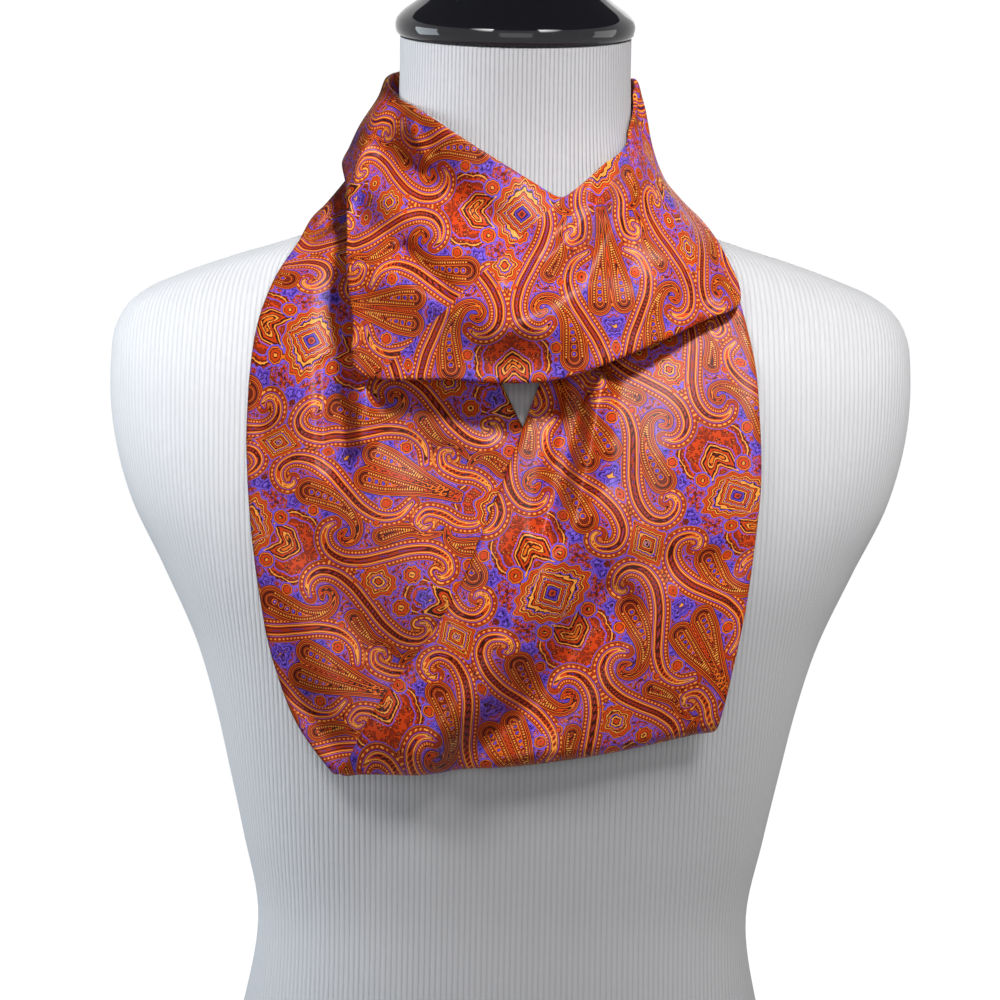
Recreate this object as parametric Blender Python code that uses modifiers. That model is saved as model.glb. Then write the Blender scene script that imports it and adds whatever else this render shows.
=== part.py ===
"""An infinity scarf, wound twice round the neck of a limbless dress form.

The scarf is one endless tube of satin, pressed flat into a double band. The band is followed
once round its whole way: up the right drop, behind the neck, across the front as the neck wrap,
behind the neck again, and down the left drop to the bottom, where the two drops meet.
X points to the right of the front view, Y to the back and Z up. The form stands on Z = 0.
Tables and sizes are in millimetres.
"""

from math import cos, pi, radians, sin, tan
from typing import NamedTuple

import bmesh
import bpy
import numpy as np

MM = 0.001

# The dress form
FORM_SEGMENTS = 44
FORM_RINGS = 40
NECK_TILT = radians(9)
TILT_FROM = 545
NECK_TOP = 604

# The cap on the neck
CAP_STEPS = 28
CAP_GAP = 0.4

# The cloth: two layers of satin that lie on each other
CLOTH_THICKNESS = 1.6
SEAM_GAP = 0.55
SEAM_CELL = 1.5
LEAST_STAND_OFF = 2.7
ACROSS_CELLS = 16
CELL_LENGTH = 10
GATHERS = 3
GATHER_HEIGHT = 2.6


class Ring(NamedTuple):
    """A level section of the dress form: a rounded oval, deeper in front or behind."""

    height: float
    half_width: float
    front: float
    back: float
    squareness: float


class Section(NamedTuple):
    """A line across the band, from the edge near the neck to the outer edge.

    Each point is (x, z, how far the cloth stands in front of the form there).
    """

    near: tuple
    upper: tuple
    lower: tuple
    outer: tuple


class BackSection(NamedTuple):
    """A line across the band behind the neck, at a bearing counted from the front to the right."""

    bearing: float
    top: float
    foot: float
    top_out: float
    foot_out: float


class Fold(NamedTuple):
    """A soft ridge or, below zero, a trough along a line of the front view."""

    start: tuple
    end: tuple
    height: float
    width: float


FORM = (
    Ring(0, 156, 104, 112, 2.2),
    Ring(45, 151, 103, 114, 2.2),
    Ring(85, 140, 99, 109, 2.2),
    Ring(125, 128, 91, 99, 2.2),
    Ring(168, 122.5, 84, 86, 2.2),
    Ring(205, 130, 88, 87, 2.25),
    Ring(241, 138, 95, 90, 2.3),
    Ring(271, 145, 102, 94, 2.35),
    Ring(301, 154, 108, 98, 2.4),
    Ring(340, 171.5, 112, 102, 2.5),
    Ring(375, 188.5, 108, 105, 2.55),
    Ring(414, 198, 99, 105, 2.5),
    Ring(440, 199, 91, 102, 2.4),
    Ring(458, 197, 82, 98, 2.2),
    Ring(469, 191, 77, 95, 2.1),
    Ring(477, 181, 73, 92, 2),
    Ring(485, 163, 68, 87, 2),
    Ring(494, 138, 65, 82, 2),
    Ring(502, 112, 62, 77, 2),
    Ring(511, 89, 59, 72, 2),
    Ring(525, 72, 57, 66, 2),
    Ring(542, 62.5, 56, 61.5, 2),
    Ring(560, 58.5, 56, 58.5, 2),
    Ring(580, 57.5, 57.5, 57, 2),
    Ring(NECK_TOP, 57.5, 59, 55.5, 2),
)

# (radius, height above the neck) down the outer side
CAP_PROFILE = (
    (0, 45),
    (14, 44),
    (26, 41),
    (35, 36),
    (40, 30),
    (42.5, 24.5),
    (46.5, 19.5),
    (52, 15.5),
    (57.5, 11),
    (60, 6.5),
    (59.5, 2),
    (57, 0),
    (0, 0),
)

RIGHT_DROP = (
    Section((60.5, 565, -8), (63.5, 546, -8), (70, 530, -8), (83, 516, -6)),
    Section((58, 548, 7), (65, 531, 12), (78, 516, 8), (94, 503, 5)),
    Section((51, 523, 9), (66, 508, 10), (86, 497, 6), (107, 484, 5)),
    Section((42, 493, 8), (61, 483, 8), (85, 475, 6), (114, 460, 5)),
    Section((13, 433, 6), (38, 430, 8), (76, 427, 7), (119, 421, 5)),
    Section((5, 411, 9), (33, 407, 9), (71, 403, 8), (120, 394, 6)),
    Section((-9, 373, 11), (24, 367, 11), (68, 360, 11), (117.5, 361, 8)),
    Section((-27, 331, 13), (15, 327, 14), (65, 322, 14), (113, 326, 14)),
    Section((-45, 303, 15), (4, 294, 16), (60, 291, 17), (107, 296, 21)),
    Section((-62, 280, 17), (-6, 271, 17), (53, 273, 17), (104, 282, 23)),
    Section((-78, 247, 19), (-17, 250.5, 15), (43, 258, 15), (101, 270, 21)),
)

BACK_HIGH = (
    BackSection(125, 575, 516, 2.8, 2.8),
    BackSection(152, 585, 526, 3, 3),
    BackSection(168, 589, 536, 3, 3.5),
    BackSection(180, 590, 537.5, 4, 5),
    BackSection(192, 591, 536, 5, 6.5),
    BackSection(208, 591, 531, 6.5, 8),
    BackSection(235, 589, 532, 7, 9),
)

NECK_WRAP = (
    Section((-64, 584, -10), (-67, 575, -10), (-76, 560, -9), (-84, 541, -6)),
    Section((-57, 573, 4), (-65, 565, 24), (-75, 546, 32), (-82, 526, 36)),
    Section((-44, 564, 5), (-55, 548, 26), (-72, 523, 38), (-82, 504, 13)),
    Section((-26, 552, 6), (-41, 531, 24), (-65, 504, 29), (-81, 484, 10)),
    Section((-7, 540.5, 5), (-24, 517, 24), (-51, 487, 29), (-78, 462, 12)),
    Section((10, 530.5, 5), (-5, 503, 25), (-33, 469, 31), (-70, 438, 14)),
    Section((22, 524, 6), (12, 498, 26), (-7, 464, 33), (-29, 436, 22)),
    Section((30, 528, 6), (28, 498, 27), (25, 465, 34), (18, 436, 24)),
    Section((41, 538, 7), (45, 508, 28), (52, 475, 33), (61, 451, 23)),
    Section((52, 548, 8), (61, 520, 27), (76, 492, 28), (91, 465, 17)),
    Section((57, 561, 6), (65.5, 538, 31), (87, 506, 24), (110, 475, 11)),
    Section((59, 573, 2), (66, 551, 11.5), (77.5, 529, 17.5), (103, 498, 11)),
    Section((60, 585, -10), (64, 573, -8), (67.3, 546, -6), (89.5, 517, -8)),
)

BACK_LOW = (
    BackSection(125, 580, 504, 6.5, 9),
    BackSection(152, 556, 484, 8, 8),
    BackSection(168, 538, 473, 7, 6),
    BackSection(180, 536, 470, 5, 5),
    BackSection(192, 535.5, 470.5, 3.5, 4),
    BackSection(208, 541, 476, 2.8, 2.8),
    BackSection(235, 553, 496, 2.8, 2.8),
)

LEFT_DROP = (
    Section((-62, 565, -8), (-72, 548, -8), (-84, 531, -8), (-98, 513, -4)),
    Section((-55, 546, 8), (-68, 531, 30), (-86, 514, 26), (-106, 498, 8)),
    Section((-44, 521, 8), (-62, 509, 10), (-88, 494, 6), (-115, 483, 6)),
    Section((-30, 492, 6), (-54, 482, 6), (-87, 471, 5), (-122, 463, 5)),
    Section((-4, 434, 4), (-43, 431, 5), (-84, 427, 4), (-126, 414, 4)),
    Section((11, 398, 3.5), (-33, 393, 5), (-78, 387, 4), (-124.5, 380, 5)),
    Section((3, 351, 3.5), (-37, 346, 5), (-78, 340, 5), (-119, 337, 9)),
    Section((-14, 308, 4), (-47, 304, 6), (-79, 301, 10), (-111, 300, 16)),
    Section((-31, 275, 5), (-55, 273, 8), (-77, 271, 13), (-99, 270, 18)),
    Section((-50, 250, 7), (-62, 248.5, 10), (-73, 247.5, 14), (-82.5, 247, 17)),
)

WRAP_FOLDS = (
    Fold((-36, 545), (3, 512), -6, 11),
    Fold((-72, 538), (-1, 492), 5, 10),
    Fold((-72, 517), (-24, 479), -7, 8.5),
    Fold((-77, 499), (-15, 457), 5, 12),
    Fold((55, 553), (40, 516), -6, 6),
    Fold((40, 516), (33, 492), -5, 8),
    Fold((61, 540), (-6, 460), 5, 12),
)

LEFT_FOLDS = (
    Fold((-104, 480), (-106, 400), 7, 13),
    Fold((-95, 368), (-51, 302), -2.5, 9),
    Fold((-104, 345), (-80, 290), 3, 12),
)

RIGHT_FOLDS = (
    Fold((45, 436), (37, 394), 6, 8),
    Fold((37, 394), (24, 364), 4, 8),
    Fold((28, 432), (19, 385), -3, 8),
    Fold((24, 364), (-50, 300), 4, 9),
    Fold((30, 324), (-12, 271), -6, 14),
    Fold((72, 400), (88, 300), 3, 16),
)


def curve_through(points, fractions):
    """Points at these fractions of the way along a smooth curve through the given ones."""
    points = np.asarray(points, float)
    flat = points.reshape(len(points), -1)
    knots = knots_of(points)
    slopes = np.gradient(flat, knots, axis=0)
    places = np.asarray(fractions) * knots[-1]
    span = np.clip(np.searchsorted(knots, places, side="right") - 1, 0, len(knots) - 2)
    length = (knots[span + 1] - knots[span])[:, None]
    t = (places - knots[span])[:, None] / length
    curve = (
        (2 * t**3 - 3 * t**2 + 1) * flat[span]
        + (t**3 - 2 * t**2 + t) * length * slopes[span]
        + (3 * t**2 - 2 * t**3) * flat[span + 1]
        + (t**3 - t**2) * length * slopes[span + 1]
    )
    return curve.reshape(len(places), *points.shape[1:])


def knots_of(points):
    """How far along its own way each point lies, or each row of points on average."""
    steps = np.diff(np.asarray(points, float), axis=0).reshape(len(points) - 1, -1)
    per_row = steps.shape[1] // 3 or 1
    return np.append(0, np.cumsum(np.linalg.norm(steps, axis=1) / per_row**0.5))


FORM_CURVE = curve_through(FORM, np.linspace(0, 1, 400))


def form_sizes(height):
    """Half-width, front, back and squareness of the form at a height."""
    return [np.interp(height, FORM_CURVE[:, 0], FORM_CURVE[:, column]) for column in (1, 2, 3, 4)]


def neck_lift(y, height):
    """How much the forward tilt of the neck raises a point: less than nothing in front."""
    share = np.clip((height - TILT_FROM) / (NECK_TOP - TILT_FROM), 0, 1)
    return y * tan(NECK_TILT) * share * share * (3 - 2 * share)


def front_of_form(x, height):
    """How far in front of the middle plane the form's surface lies, or 0 beside the form."""
    half_width, front, _, squareness = form_sizes(height)
    inside = max(0, 1 - abs(x / half_width) ** squareness)
    return front * inside ** (1 / squareness)


def form_reach(points):
    """How many times further out than the form's surface each point lies."""
    x, y, z = points.T
    height = z - neck_lift(y, z)
    half_width, front, back, squareness = form_sizes(height)
    depth = np.where(y < 0, front, back)
    return (np.abs(x / half_width) ** squareness + np.abs(y / depth) ** squareness) ** (
        1 / squareness
    )


def rested_on_form(points, least):
    """The points, with those nearer to the form than `least` moved straight off it."""
    step = 0.5
    for _ in range(4):
        reach = form_reach(points)
        slope = np.stack(
            [
                (form_reach(points + step * axis) - form_reach(points - step * axis)) / (2 * step)
                for axis in np.eye(3)
            ],
            axis=1,
        )
        steepness = np.linalg.norm(slope, axis=1)
        lacking = np.maximum(least - (reach - 1) / steepness, 0)
        points = points + slope * (lacking / steepness)[:, None]
    return points


def front_points(section):
    """The four points of a section of the front view, in space."""
    return [(x, -front_of_form(x, z) - out, z) for x, z, out in section]


def back_points(section):
    """Four even points down a section behind the neck, in space."""
    points = []
    for share in (0, 1 / 3, 2 / 3, 1):
        height = section.top + share * (section.foot - section.top)
        out = section.top_out + share * (section.foot_out - section.top_out)
        half_width, front, back, squareness = form_sizes(height)
        across = sin(radians(section.bearing))
        away = -cos(radians(section.bearing))
        depth = back if away > 0 else front
        radius = (abs(across / half_width) ** squareness + abs(away / depth) ** squareness) ** (
            -1 / squareness
        )
        points.append(((radius + out) * across, (radius + out) * away, height))
    return points


def folds_at(points, folds):
    """How far the folds raise the cloth at each point."""
    places = points[:, [0, 2]]
    total = np.zeros(len(points))
    for fold in folds:
        start = np.array(fold.start)
        run = np.array(fold.end) - start
        share = np.clip((places - start) @ run / (run @ run), 0, 1)
        distance = np.linalg.norm(places - start - share[:, None] * run, axis=1)
        total += fold.height * np.exp(-((distance / fold.width) ** 2))
    return total


def mesh_object(name, points, faces, material, smooth_angle=40):
    """A smooth mesh object from points in millimetres and its faces."""
    mesh = bpy.data.meshes.new(name)
    mesh.from_pydata((np.asarray(points) * MM).tolist(), [], faces)
    mesh.shade_smooth()
    mesh.set_sharp_from_angle(angle=radians(smooth_angle))
    mesh.materials.append(material)
    made = bpy.data.objects.new(name, mesh)
    scarf_and_form.objects.link(made)
    return made


def material_of(name, colour, roughness, metallic=0.0):
    """A plain material with the piece's own colour and gloss."""
    material = bpy.data.materials.new(name)
    material.use_nodes = True
    shader = material.node_tree.nodes["Principled BSDF"]
    shader.inputs["Base Color"].default_value = (*colour, 1)
    shader.inputs["Roughness"].default_value = roughness
    shader.inputs["Metallic"].default_value = metallic
    return material


def build_form():
    """The torso and neck in one closed loft of level ovals, with flat ends."""
    rings = curve_through(FORM, np.linspace(0, 1, FORM_RINGS))
    points = []
    for height, half_width, front, back, squareness in rings:
        for bearing in np.linspace(0, 360, FORM_SEGMENTS, endpoint=False):
            across, away = sin(radians(bearing)), -cos(radians(bearing))
            x = half_width * np.sign(across) * abs(across) ** (2 / squareness)
            y = (back if away > 0 else front) * np.sign(away) * abs(away) ** (2 / squareness)
            points.append((x, y, height + neck_lift(y, height)))
    faces = [tuple(reversed(range(FORM_SEGMENTS)))]
    for ring in range(FORM_RINGS - 1):
        low, high = ring * FORM_SEGMENTS, (ring + 1) * FORM_SEGMENTS
        for here in range(FORM_SEGMENTS):
            after = (here + 1) % FORM_SEGMENTS
            faces.append((low + here, low + after, high + after, high + here))
    faces.append(tuple((FORM_RINGS - 1) * FORM_SEGMENTS + k for k in range(FORM_SEGMENTS)))
    return mesh_object("form_body", points, faces, jersey)


def build_cap():
    """The turned cap, which stands on the tilted top of the neck."""
    profile = bmesh.new()
    corners = [profile.verts.new((radius * MM, 0, height * MM)) for radius, height in CAP_PROFILE]
    for above, below in zip(corners, corners[1:]):
        profile.edges.new((above, below))
    mesh = bpy.data.meshes.new("neck_cap")
    profile.to_mesh(mesh)
    profile.free()
    mesh.materials.append(gloss_black)
    cap = bpy.data.objects.new("neck_cap", mesh)
    scarf_and_form.objects.link(cap)
    cap.location = (0, 0, (NECK_TOP + CAP_GAP) * MM)
    cap.rotation_euler.x = NECK_TILT
    turn = cap.modifiers.new("turn", "SCREW")
    turn.steps = turn.render_steps = CAP_STEPS
    turn.use_merge_vertices = True
    turn.merge_threshold = 0.00001
    turn.use_smooth_shade = True
    return cap


def gathers_at(along, across):
    """How far the lengthwise gathers behind the neck raise the cloth, fading to the ends."""
    wave = 0.5 - 0.5 * np.cos(2 * pi * GATHERS * across)
    return GATHER_HEIGHT * wave * np.sin(pi * along)


def build_stretch(name, sections, first, last, folds=(), gathered=False):
    """One stretch of the band, between two of the loop's sections, as a thin wall."""
    knots = knots_of(sections)
    start, end = knots[first] + SEAM_GAP / 2, knots[last] - SEAM_GAP / 2
    inner_cells = round((end - start) / CELL_LENGTH)
    places = np.linspace(start + SEAM_CELL, end - SEAM_CELL, inner_cells + 1)
    places = np.concatenate([[start], places, [end]])
    across = np.linspace(0, 1, ACROSS_CELLS + 1)
    lines = curve_through(sections, places / knots[-1])
    points = np.concatenate([curve_through(line, across) for line in lines])
    if gathered:
        along = np.repeat((places - start) / (end - start), ACROSS_CELLS + 1)
        raised = gathers_at(along, np.tile(across, len(places)))
        outward = points[:, :2] / np.linalg.norm(points[:, :2], axis=1)[:, None]
        points[:, :2] += outward * raised[:, None]
    points[:, 1] -= folds_at(points, folds) * (points[:, 1] < 0)
    points = rested_on_form(points, LEAST_STAND_OFF)
    faces = []
    width = ACROSS_CELLS + 1
    for row in range(len(places) - 1):
        for here in range(row * width, row * width + ACROSS_CELLS):
            faces.append((here, here + 1, here + 1 + width, here + width))
    cloth = mesh_object(name, points, faces, satin)
    wall = cloth.modifiers.new("wall", "SOLIDIFY")
    wall.thickness = CLOTH_THICKNESS * MM
    wall.offset = -1
    wall.use_even_offset = False
    return cloth


def build_scarf():
    """The five stretches of the band, in their order along the endless loop."""
    right = [front_points(section) for section in reversed(RIGHT_DROP)]
    high = [back_points(section) for section in BACK_HIGH]
    wrap = [front_points(section) for section in NECK_WRAP]
    low = [back_points(section) for section in BACK_LOW]
    left = [front_points(section) for section in LEFT_DROP]
    loop = right + high + wrap + low + left
    right_top = len(right) - 1
    wrap_left = len(right) + len(high)
    wrap_right = wrap_left + len(wrap) - 1
    left_top = wrap_right + len(low) + 1
    build_stretch("scarf_right_drop", loop, 0, right_top, RIGHT_FOLDS)
    build_stretch("scarf_back_high", loop, right_top, wrap_left, gathered=True)
    build_stretch("scarf_neck_wrap", loop, wrap_left, wrap_right, WRAP_FOLDS)
    build_stretch("scarf_back_low", loop, wrap_right, left_top, gathered=True)
    build_stretch("scarf_left_drop", loop, left_top, len(loop) - 1, LEFT_FOLDS)


for old in list(bpy.data.objects):
    bpy.data.objects.remove(old, do_unlink=True)
scarf_and_form = bpy.data.collections.new("infinity_scarf_on_dress_form")
bpy.context.scene.collection.children.link(scarf_and_form)
jersey = material_of("grey_jersey", (0.62, 0.62, 0.64), 0.9)
gloss_black = material_of("gloss_black", (0.01, 0.01, 0.012), 0.08)
satin = material_of("printed_satin", (0.55, 0.13, 0.04), 0.4)
build_form()
build_cap()
build_scarf()
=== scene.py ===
"""The looks of an infinity scarf, wound twice round the neck of a limbless dress form.

The scarf is one endless tube of printed satin, pressed flat. Each stretch of it that shows is a piece
of open tube, and meets its neighbours end to end. The form is covered in ribbed jersey and has a
turned gloss cap. Their sizes and tables are in millimetres. Meshes, bumps, the cloth's flat sizes and
the studio are in metres.
"""

import logging
from dataclasses import dataclass, field
from enum import Enum
from math import atan2, cos, pi, radians, sin, tan
from typing import NamedTuple, Optional, Sequence, Union

import bpy
import numpy as np
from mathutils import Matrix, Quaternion, Vector


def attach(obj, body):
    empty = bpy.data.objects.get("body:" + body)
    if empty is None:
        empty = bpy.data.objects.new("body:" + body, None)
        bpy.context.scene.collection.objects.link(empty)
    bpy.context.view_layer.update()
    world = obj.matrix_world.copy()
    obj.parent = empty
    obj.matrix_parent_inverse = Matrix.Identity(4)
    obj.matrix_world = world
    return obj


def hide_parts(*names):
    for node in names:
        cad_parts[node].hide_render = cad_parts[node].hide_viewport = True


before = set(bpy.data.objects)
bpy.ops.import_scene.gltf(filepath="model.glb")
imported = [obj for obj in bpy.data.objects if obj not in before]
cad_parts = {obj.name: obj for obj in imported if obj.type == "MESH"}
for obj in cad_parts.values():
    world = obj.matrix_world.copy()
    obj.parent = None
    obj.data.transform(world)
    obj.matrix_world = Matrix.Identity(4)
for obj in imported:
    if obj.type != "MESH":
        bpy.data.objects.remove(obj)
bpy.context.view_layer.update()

MM = 0.001
LEAST_LENGTH = 1e-9
CHEST = (0, -0.05, 0.4)
log = logging.getLogger("scarf")

Socket = bpy.types.NodeSocket
Colour = tuple[float, float, float]
Value = Union[float, Socket]


class Held(Enum):
    """The ways a sheet of cloth can be held."""

    DRAPED = "draped"
    GATHERED = "gathered"


class Ring(NamedTuple):
    """A level section of the dress form: a rounded oval, deeper in front or behind."""

    height: float
    half_width: float
    front: float
    back: float
    squareness: float


class Section(NamedTuple):
    """A line across the band, from the edge near the neck to the outer edge.

    Each point is (x, z, how far the cloth stands in front of the form there).
    """

    near: tuple[float, float, float]
    upper: tuple[float, float, float]
    lower: tuple[float, float, float]
    outer: tuple[float, float, float]


class BackSection(NamedTuple):
    """A line across the band behind the neck, at a bearing counted from the front to the right."""

    bearing: float
    top: float
    foot: float
    top_out: float
    foot_out: float


class Fold(NamedTuple):
    """A soft ridge or, below zero, a trough along a line of the front view."""

    start: tuple[float, float]
    end: tuple[float, float]
    height: float
    width: float


class Bend(NamedTuple):
    """A point on the middle line of a printed figure, and half the figure's width there."""

    across: float
    up: float
    half_width: float


class Disc(NamedTuple):
    """A printed medallion, diamond or rosette: its middle, radii, squareness and scallops."""

    across: float
    up: float
    radius_across: float
    radius_up: float
    squareness: float
    scallops: int
    depth: float


class PrintSpot(NamedTuple):
    """A place in the front view, the print's own place that lies there, and its columns' slant."""

    x: float
    z: float
    across: float
    up: float
    slant: float


class Mitre(NamedTuple):
    """A slanting crease in the front view, past which the print lies another way."""

    start: tuple[float, float]
    end: tuple[float, float]
    beyond: PrintSpot


def curve_through(points: Sequence, fractions: np.ndarray) -> np.ndarray:
    """Points on a smooth curve through the given ones.

    Args:
        points: Points, or rows of points, in their order along the curve.
        fractions: How far along the curve each wanted point lies, from 0 to 1.

    Returns:
        An array with a point or row of points for each fraction.
    """
    points = np.asarray(points, float)
    flat = points.reshape(len(points), -1)
    knots = knots_of(points)
    slopes = np.gradient(flat, knots, axis=0)
    places = np.asarray(fractions) * knots[-1]
    span = np.clip(np.searchsorted(knots, places, side="right") - 1, 0, len(knots) - 2)
    length = (knots[span + 1] - knots[span])[:, None]
    t = (places - knots[span])[:, None] / length
    curve = (
        (2 * t**3 - 3 * t**2 + 1) * flat[span]
        + (t**3 - 2 * t**2 + t) * length * slopes[span]
        + (3 * t**2 - 2 * t**3) * flat[span + 1]
        + (t**3 - t**2) * length * slopes[span + 1]
    )
    return curve.reshape(len(places), *points.shape[1:])


def knots_of(points: Sequence) -> np.ndarray:
    """How far along its own way each point lies, or each row of points on average.

    Args:
        points: Points, or rows of points, in their order.

    Returns:
        The distances, from 0.
    """
    steps = np.diff(np.asarray(points, float), axis=0).reshape(len(points) - 1, -1)
    per_row = steps.shape[1] // 3 or 1
    return np.append(0, np.cumsum(np.linalg.norm(steps, axis=1) / per_row**0.5))


def unit(vectors: np.ndarray) -> np.ndarray:
    """The vectors at length 1."""
    return vectors / np.maximum(np.linalg.norm(vectors, axis=-1, keepdims=True), LEAST_LENGTH)


def turn_about(first: np.ndarray, second: np.ndarray, axis: np.ndarray) -> np.ndarray:
    """The angles that turn the first directions to the second ones about each axis.

    Args:
        first: Directions.
        second: Other directions.
        axis: The axis of each turn.

    Returns:
        The angles, in radians.
    """
    return np.arctan2((np.cross(first, second) * axis).sum(-1), (first * second).sum(-1))


def outward_of(points: np.ndarray) -> np.ndarray:
    """The outward direction at each point of a grid of cloth.

    Args:
        points: The grid, along and then across the band.

    Returns:
        Directions of length 1.
    """
    along, across = np.gradient(points, axis=0), np.gradient(points, axis=1)
    return unit(np.cross(across, along))


def finished(name: str, mesh: bpy.types.Mesh, material: bpy.types.Material) -> bpy.types.Object:
    """Puts a mesh into the scene as a smooth piece with its material.

    Args:
        name: The piece's name.
        mesh: Its mesh.
        material: Its material.

    Returns:
        The piece.
    """
    mesh.materials.clear()
    mesh.materials.append(material)
    mesh.shade_smooth()
    piece = bpy.data.objects.new(name, mesh)
    bpy.context.scene.collection.objects.link(piece)
    return piece


def deselected() -> None:
    """Leaves object mode with nothing selected."""
    if bpy.context.mode != "OBJECT":
        bpy.ops.object.mode_set(mode="OBJECT")
    bpy.ops.object.select_all(action="DESELECT")


class Shade(Enum):
    """The print's dyes, as linear colours."""

    RUST = (0.40, 0.036, 0.008)
    RED = (0.62, 0.058, 0.008)
    ORANGE = (0.84, 0.17, 0.015)
    PALE = (0.98, 0.36, 0.055)
    BROWN = (0.055, 0.009, 0.006)
    UMBER = (0.16, 0.017, 0.007)
    VIOLET = (0.12, 0.05, 0.46)
    LILAC = (0.20, 0.105, 0.66)
    INDIGO = (0.03, 0.012, 0.13)


class Dots(NamedTuple):
    """A row of dots: how far outside the figure's edge it lies, the pitch, the radius and the dye."""

    out: float
    pitch: float
    radius: float
    shade: Shade


class Lamp(NamedTuple):
    """A square softbox: its place and target, its side, power in watts, colour and spread."""

    name: str
    place: tuple[float, float, float]
    at: tuple[float, float, float]
    side: float
    power: float
    tint: Colour = (1, 1, 1)
    spread: float = pi


class Graph:
    """A material's node tree, with a short call for each kind of node that is used."""

    def __init__(self, tree: bpy.types.NodeTree) -> None:
        """Holds the tree that the nodes go into."""
        self.tree = tree

    def add(self, kind: str, **settings: object) -> bpy.types.Node:
        """Adds a node.

        Args:
            kind: The node's type, without the word ShaderNode.
            settings: The node's own properties.

        Returns:
            The new node.
        """
        node = self.tree.nodes.new("ShaderNode" + kind)
        for name, value in settings.items():
            setattr(node, name, value)
        return node

    def feed(self, socket: Socket, value: Union[Value, tuple]) -> None:
        """Links a socket to the input, or gives it a plain value.

        Args:
            socket: The input.
            value: An output to link, or the value.
        """
        if isinstance(value, bpy.types.NodeSocket):
            self.tree.links.new(value, socket)
        else:
            socket.default_value = value

    def maths(self, operation: str, *values: Value) -> Socket:
        """The result of a Math node over the values.

        Args:
            operation: What the node does.
            values: Its inputs, in order.

        Returns:
            Its output.
        """
        node = self.add("Math", operation=operation)
        for socket, value in zip(node.inputs, values):
            self.feed(socket, value)
        return node.outputs[0]

    def parts(self, vector: Socket) -> list[Socket]:
        """The three numbers of a vector.

        Args:
            vector: The vector.

        Returns:
            An output for each number.
        """
        node = self.add("SeparateXYZ")
        self.feed(node.inputs[0], vector)
        return list(node.outputs)

    def joined(self, x: Value, y: Value, z: Value = 0.0) -> Socket:
        """A vector of three numbers.

        Args:
            x: The first number.
            y: The second.
            z: The third.

        Returns:
            The vector.
        """
        node = self.add("CombineXYZ")
        for socket, value in zip(node.inputs, (x, y, z)):
            self.feed(socket, value)
        return node.outputs[0]

    def noise(self, place: Socket, scale: float, detail: float = 2.0) -> Socket:
        """Soft noise over a place.

        Args:
            place: The place.
            scale: How fine the waves are.
            detail: How many finer waves lie on them.

        Returns:
            A value about a half.
        """
        node = self.add("TexNoise")
        self.feed(node.inputs["Vector"], place)
        node.inputs["Scale"].default_value = scale
        node.inputs["Detail"].default_value = detail
        return node.outputs["Fac"]

    def uneven(self, place: Socket, scale: float, detail: float, least: float, spread: float) -> Socket:
        """A value that wanders softly over a place, from the shared group.

        Args:
            place: The place.
            scale: How fine the waves are.
            detail: How many finer waves lie on them.
            least: The lowest value.
            spread: How far above it the value goes.

        Returns:
            The value.
        """
        node = self.add("Group", node_tree=wandering_value())
        self.feed(node.inputs["Place"], place)
        for name, value in (("Scale", scale), ("Detail", detail), ("Least", least), ("Spread", spread)):
            node.inputs[name].default_value = value
        return node.outputs["Value"]

    def bump(self, height: Socket, strength: float, distance: float) -> Socket:
        """The normal of a surface with small heights on it.

        Args:
            height: The heights, from 0 to 1.
            strength: How strongly they show.
            distance: The highest one, in metres.

        Returns:
            The normal.
        """
        node = self.add("Bump")
        node.inputs["Strength"].default_value = strength
        node.inputs["Distance"].default_value = distance
        self.feed(node.inputs["Height"], height)
        return node.outputs[0]

    def cells(self, place: Socket, scale: float, feature: str = "F1") -> Socket:
        """The distance to the nearest of many scattered points, or to the line between two.

        Args:
            place: The place.
            scale: How close the points are.
            feature: The kind of distance.

        Returns:
            The distance.
        """
        node = self.add("TexVoronoi", feature=feature)
        self.feed(node.inputs["Vector"], place)
        node.inputs["Scale"].default_value = scale
        return node.outputs["Distance"]

    def attribute(self, name: str) -> Socket:
        """The vector that the mesh holds under this name."""
        return self.add("Attribute", attribute_name=name).outputs["Vector"]

    def mixed(self, share: Value, first: Union[Socket, Colour], second: Union[Socket, Colour]) -> Socket:
        """The first colour, going over to the second as the share goes from 0 to 1.

        Args:
            share: The share.
            first: The first colour.
            second: The second.

        Returns:
            The mixed colour.
        """
        node = self.add("Mix", data_type="RGBA")
        colours = [s for s in node.inputs if s.type == "RGBA"]
        self.feed(node.inputs[0], share)
        for socket, colour in zip(colours, (first, second)):
            self.feed(socket, colour if isinstance(colour, bpy.types.NodeSocket) else (*colour, 1))
        return [s for s in node.outputs if s.type == "RGBA"][0]

    def bands(self, value: Socket, low: float, stops: Sequence[tuple[float, Shade]]) -> Socket:
        """Bands of plain colour along a value.

        Args:
            value: The number that the bands follow.
            low: Where the first band starts.
            stops: Each band's end and its dye, in order.

        Returns:
            The colour of the band that the value lies in.
        """
        high = stops[-1][0]
        share = self.maths("DIVIDE", self.maths("SUBTRACT", value, low), high - low)
        node = self.add("ValToRGB")
        ramp = node.color_ramp
        ramp.interpolation = "CONSTANT"
        ramp.elements[0].position, ramp.elements[0].color = 0, (*stops[0][1].value, 1)
        ramp.elements.remove(ramp.elements[1])
        for (start, _), (_, shade) in zip(stops, stops[1:]):
            ramp.elements.new((start - low) / (high - low)).color = (*shade.value, 1)
        self.feed(node.inputs[0], share)
        return node.outputs[0]

    def below(self, value: Value, limit: Value) -> Socket:
        """1 where the value lies under the limit, and 0 elsewhere."""
        return self.maths("LESS_THAN", value, limit)

    def both(self, first: Value, second: Value) -> Socket:
        """1 where both are 1."""
        return self.maths("MULTIPLY", first, second)


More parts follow.
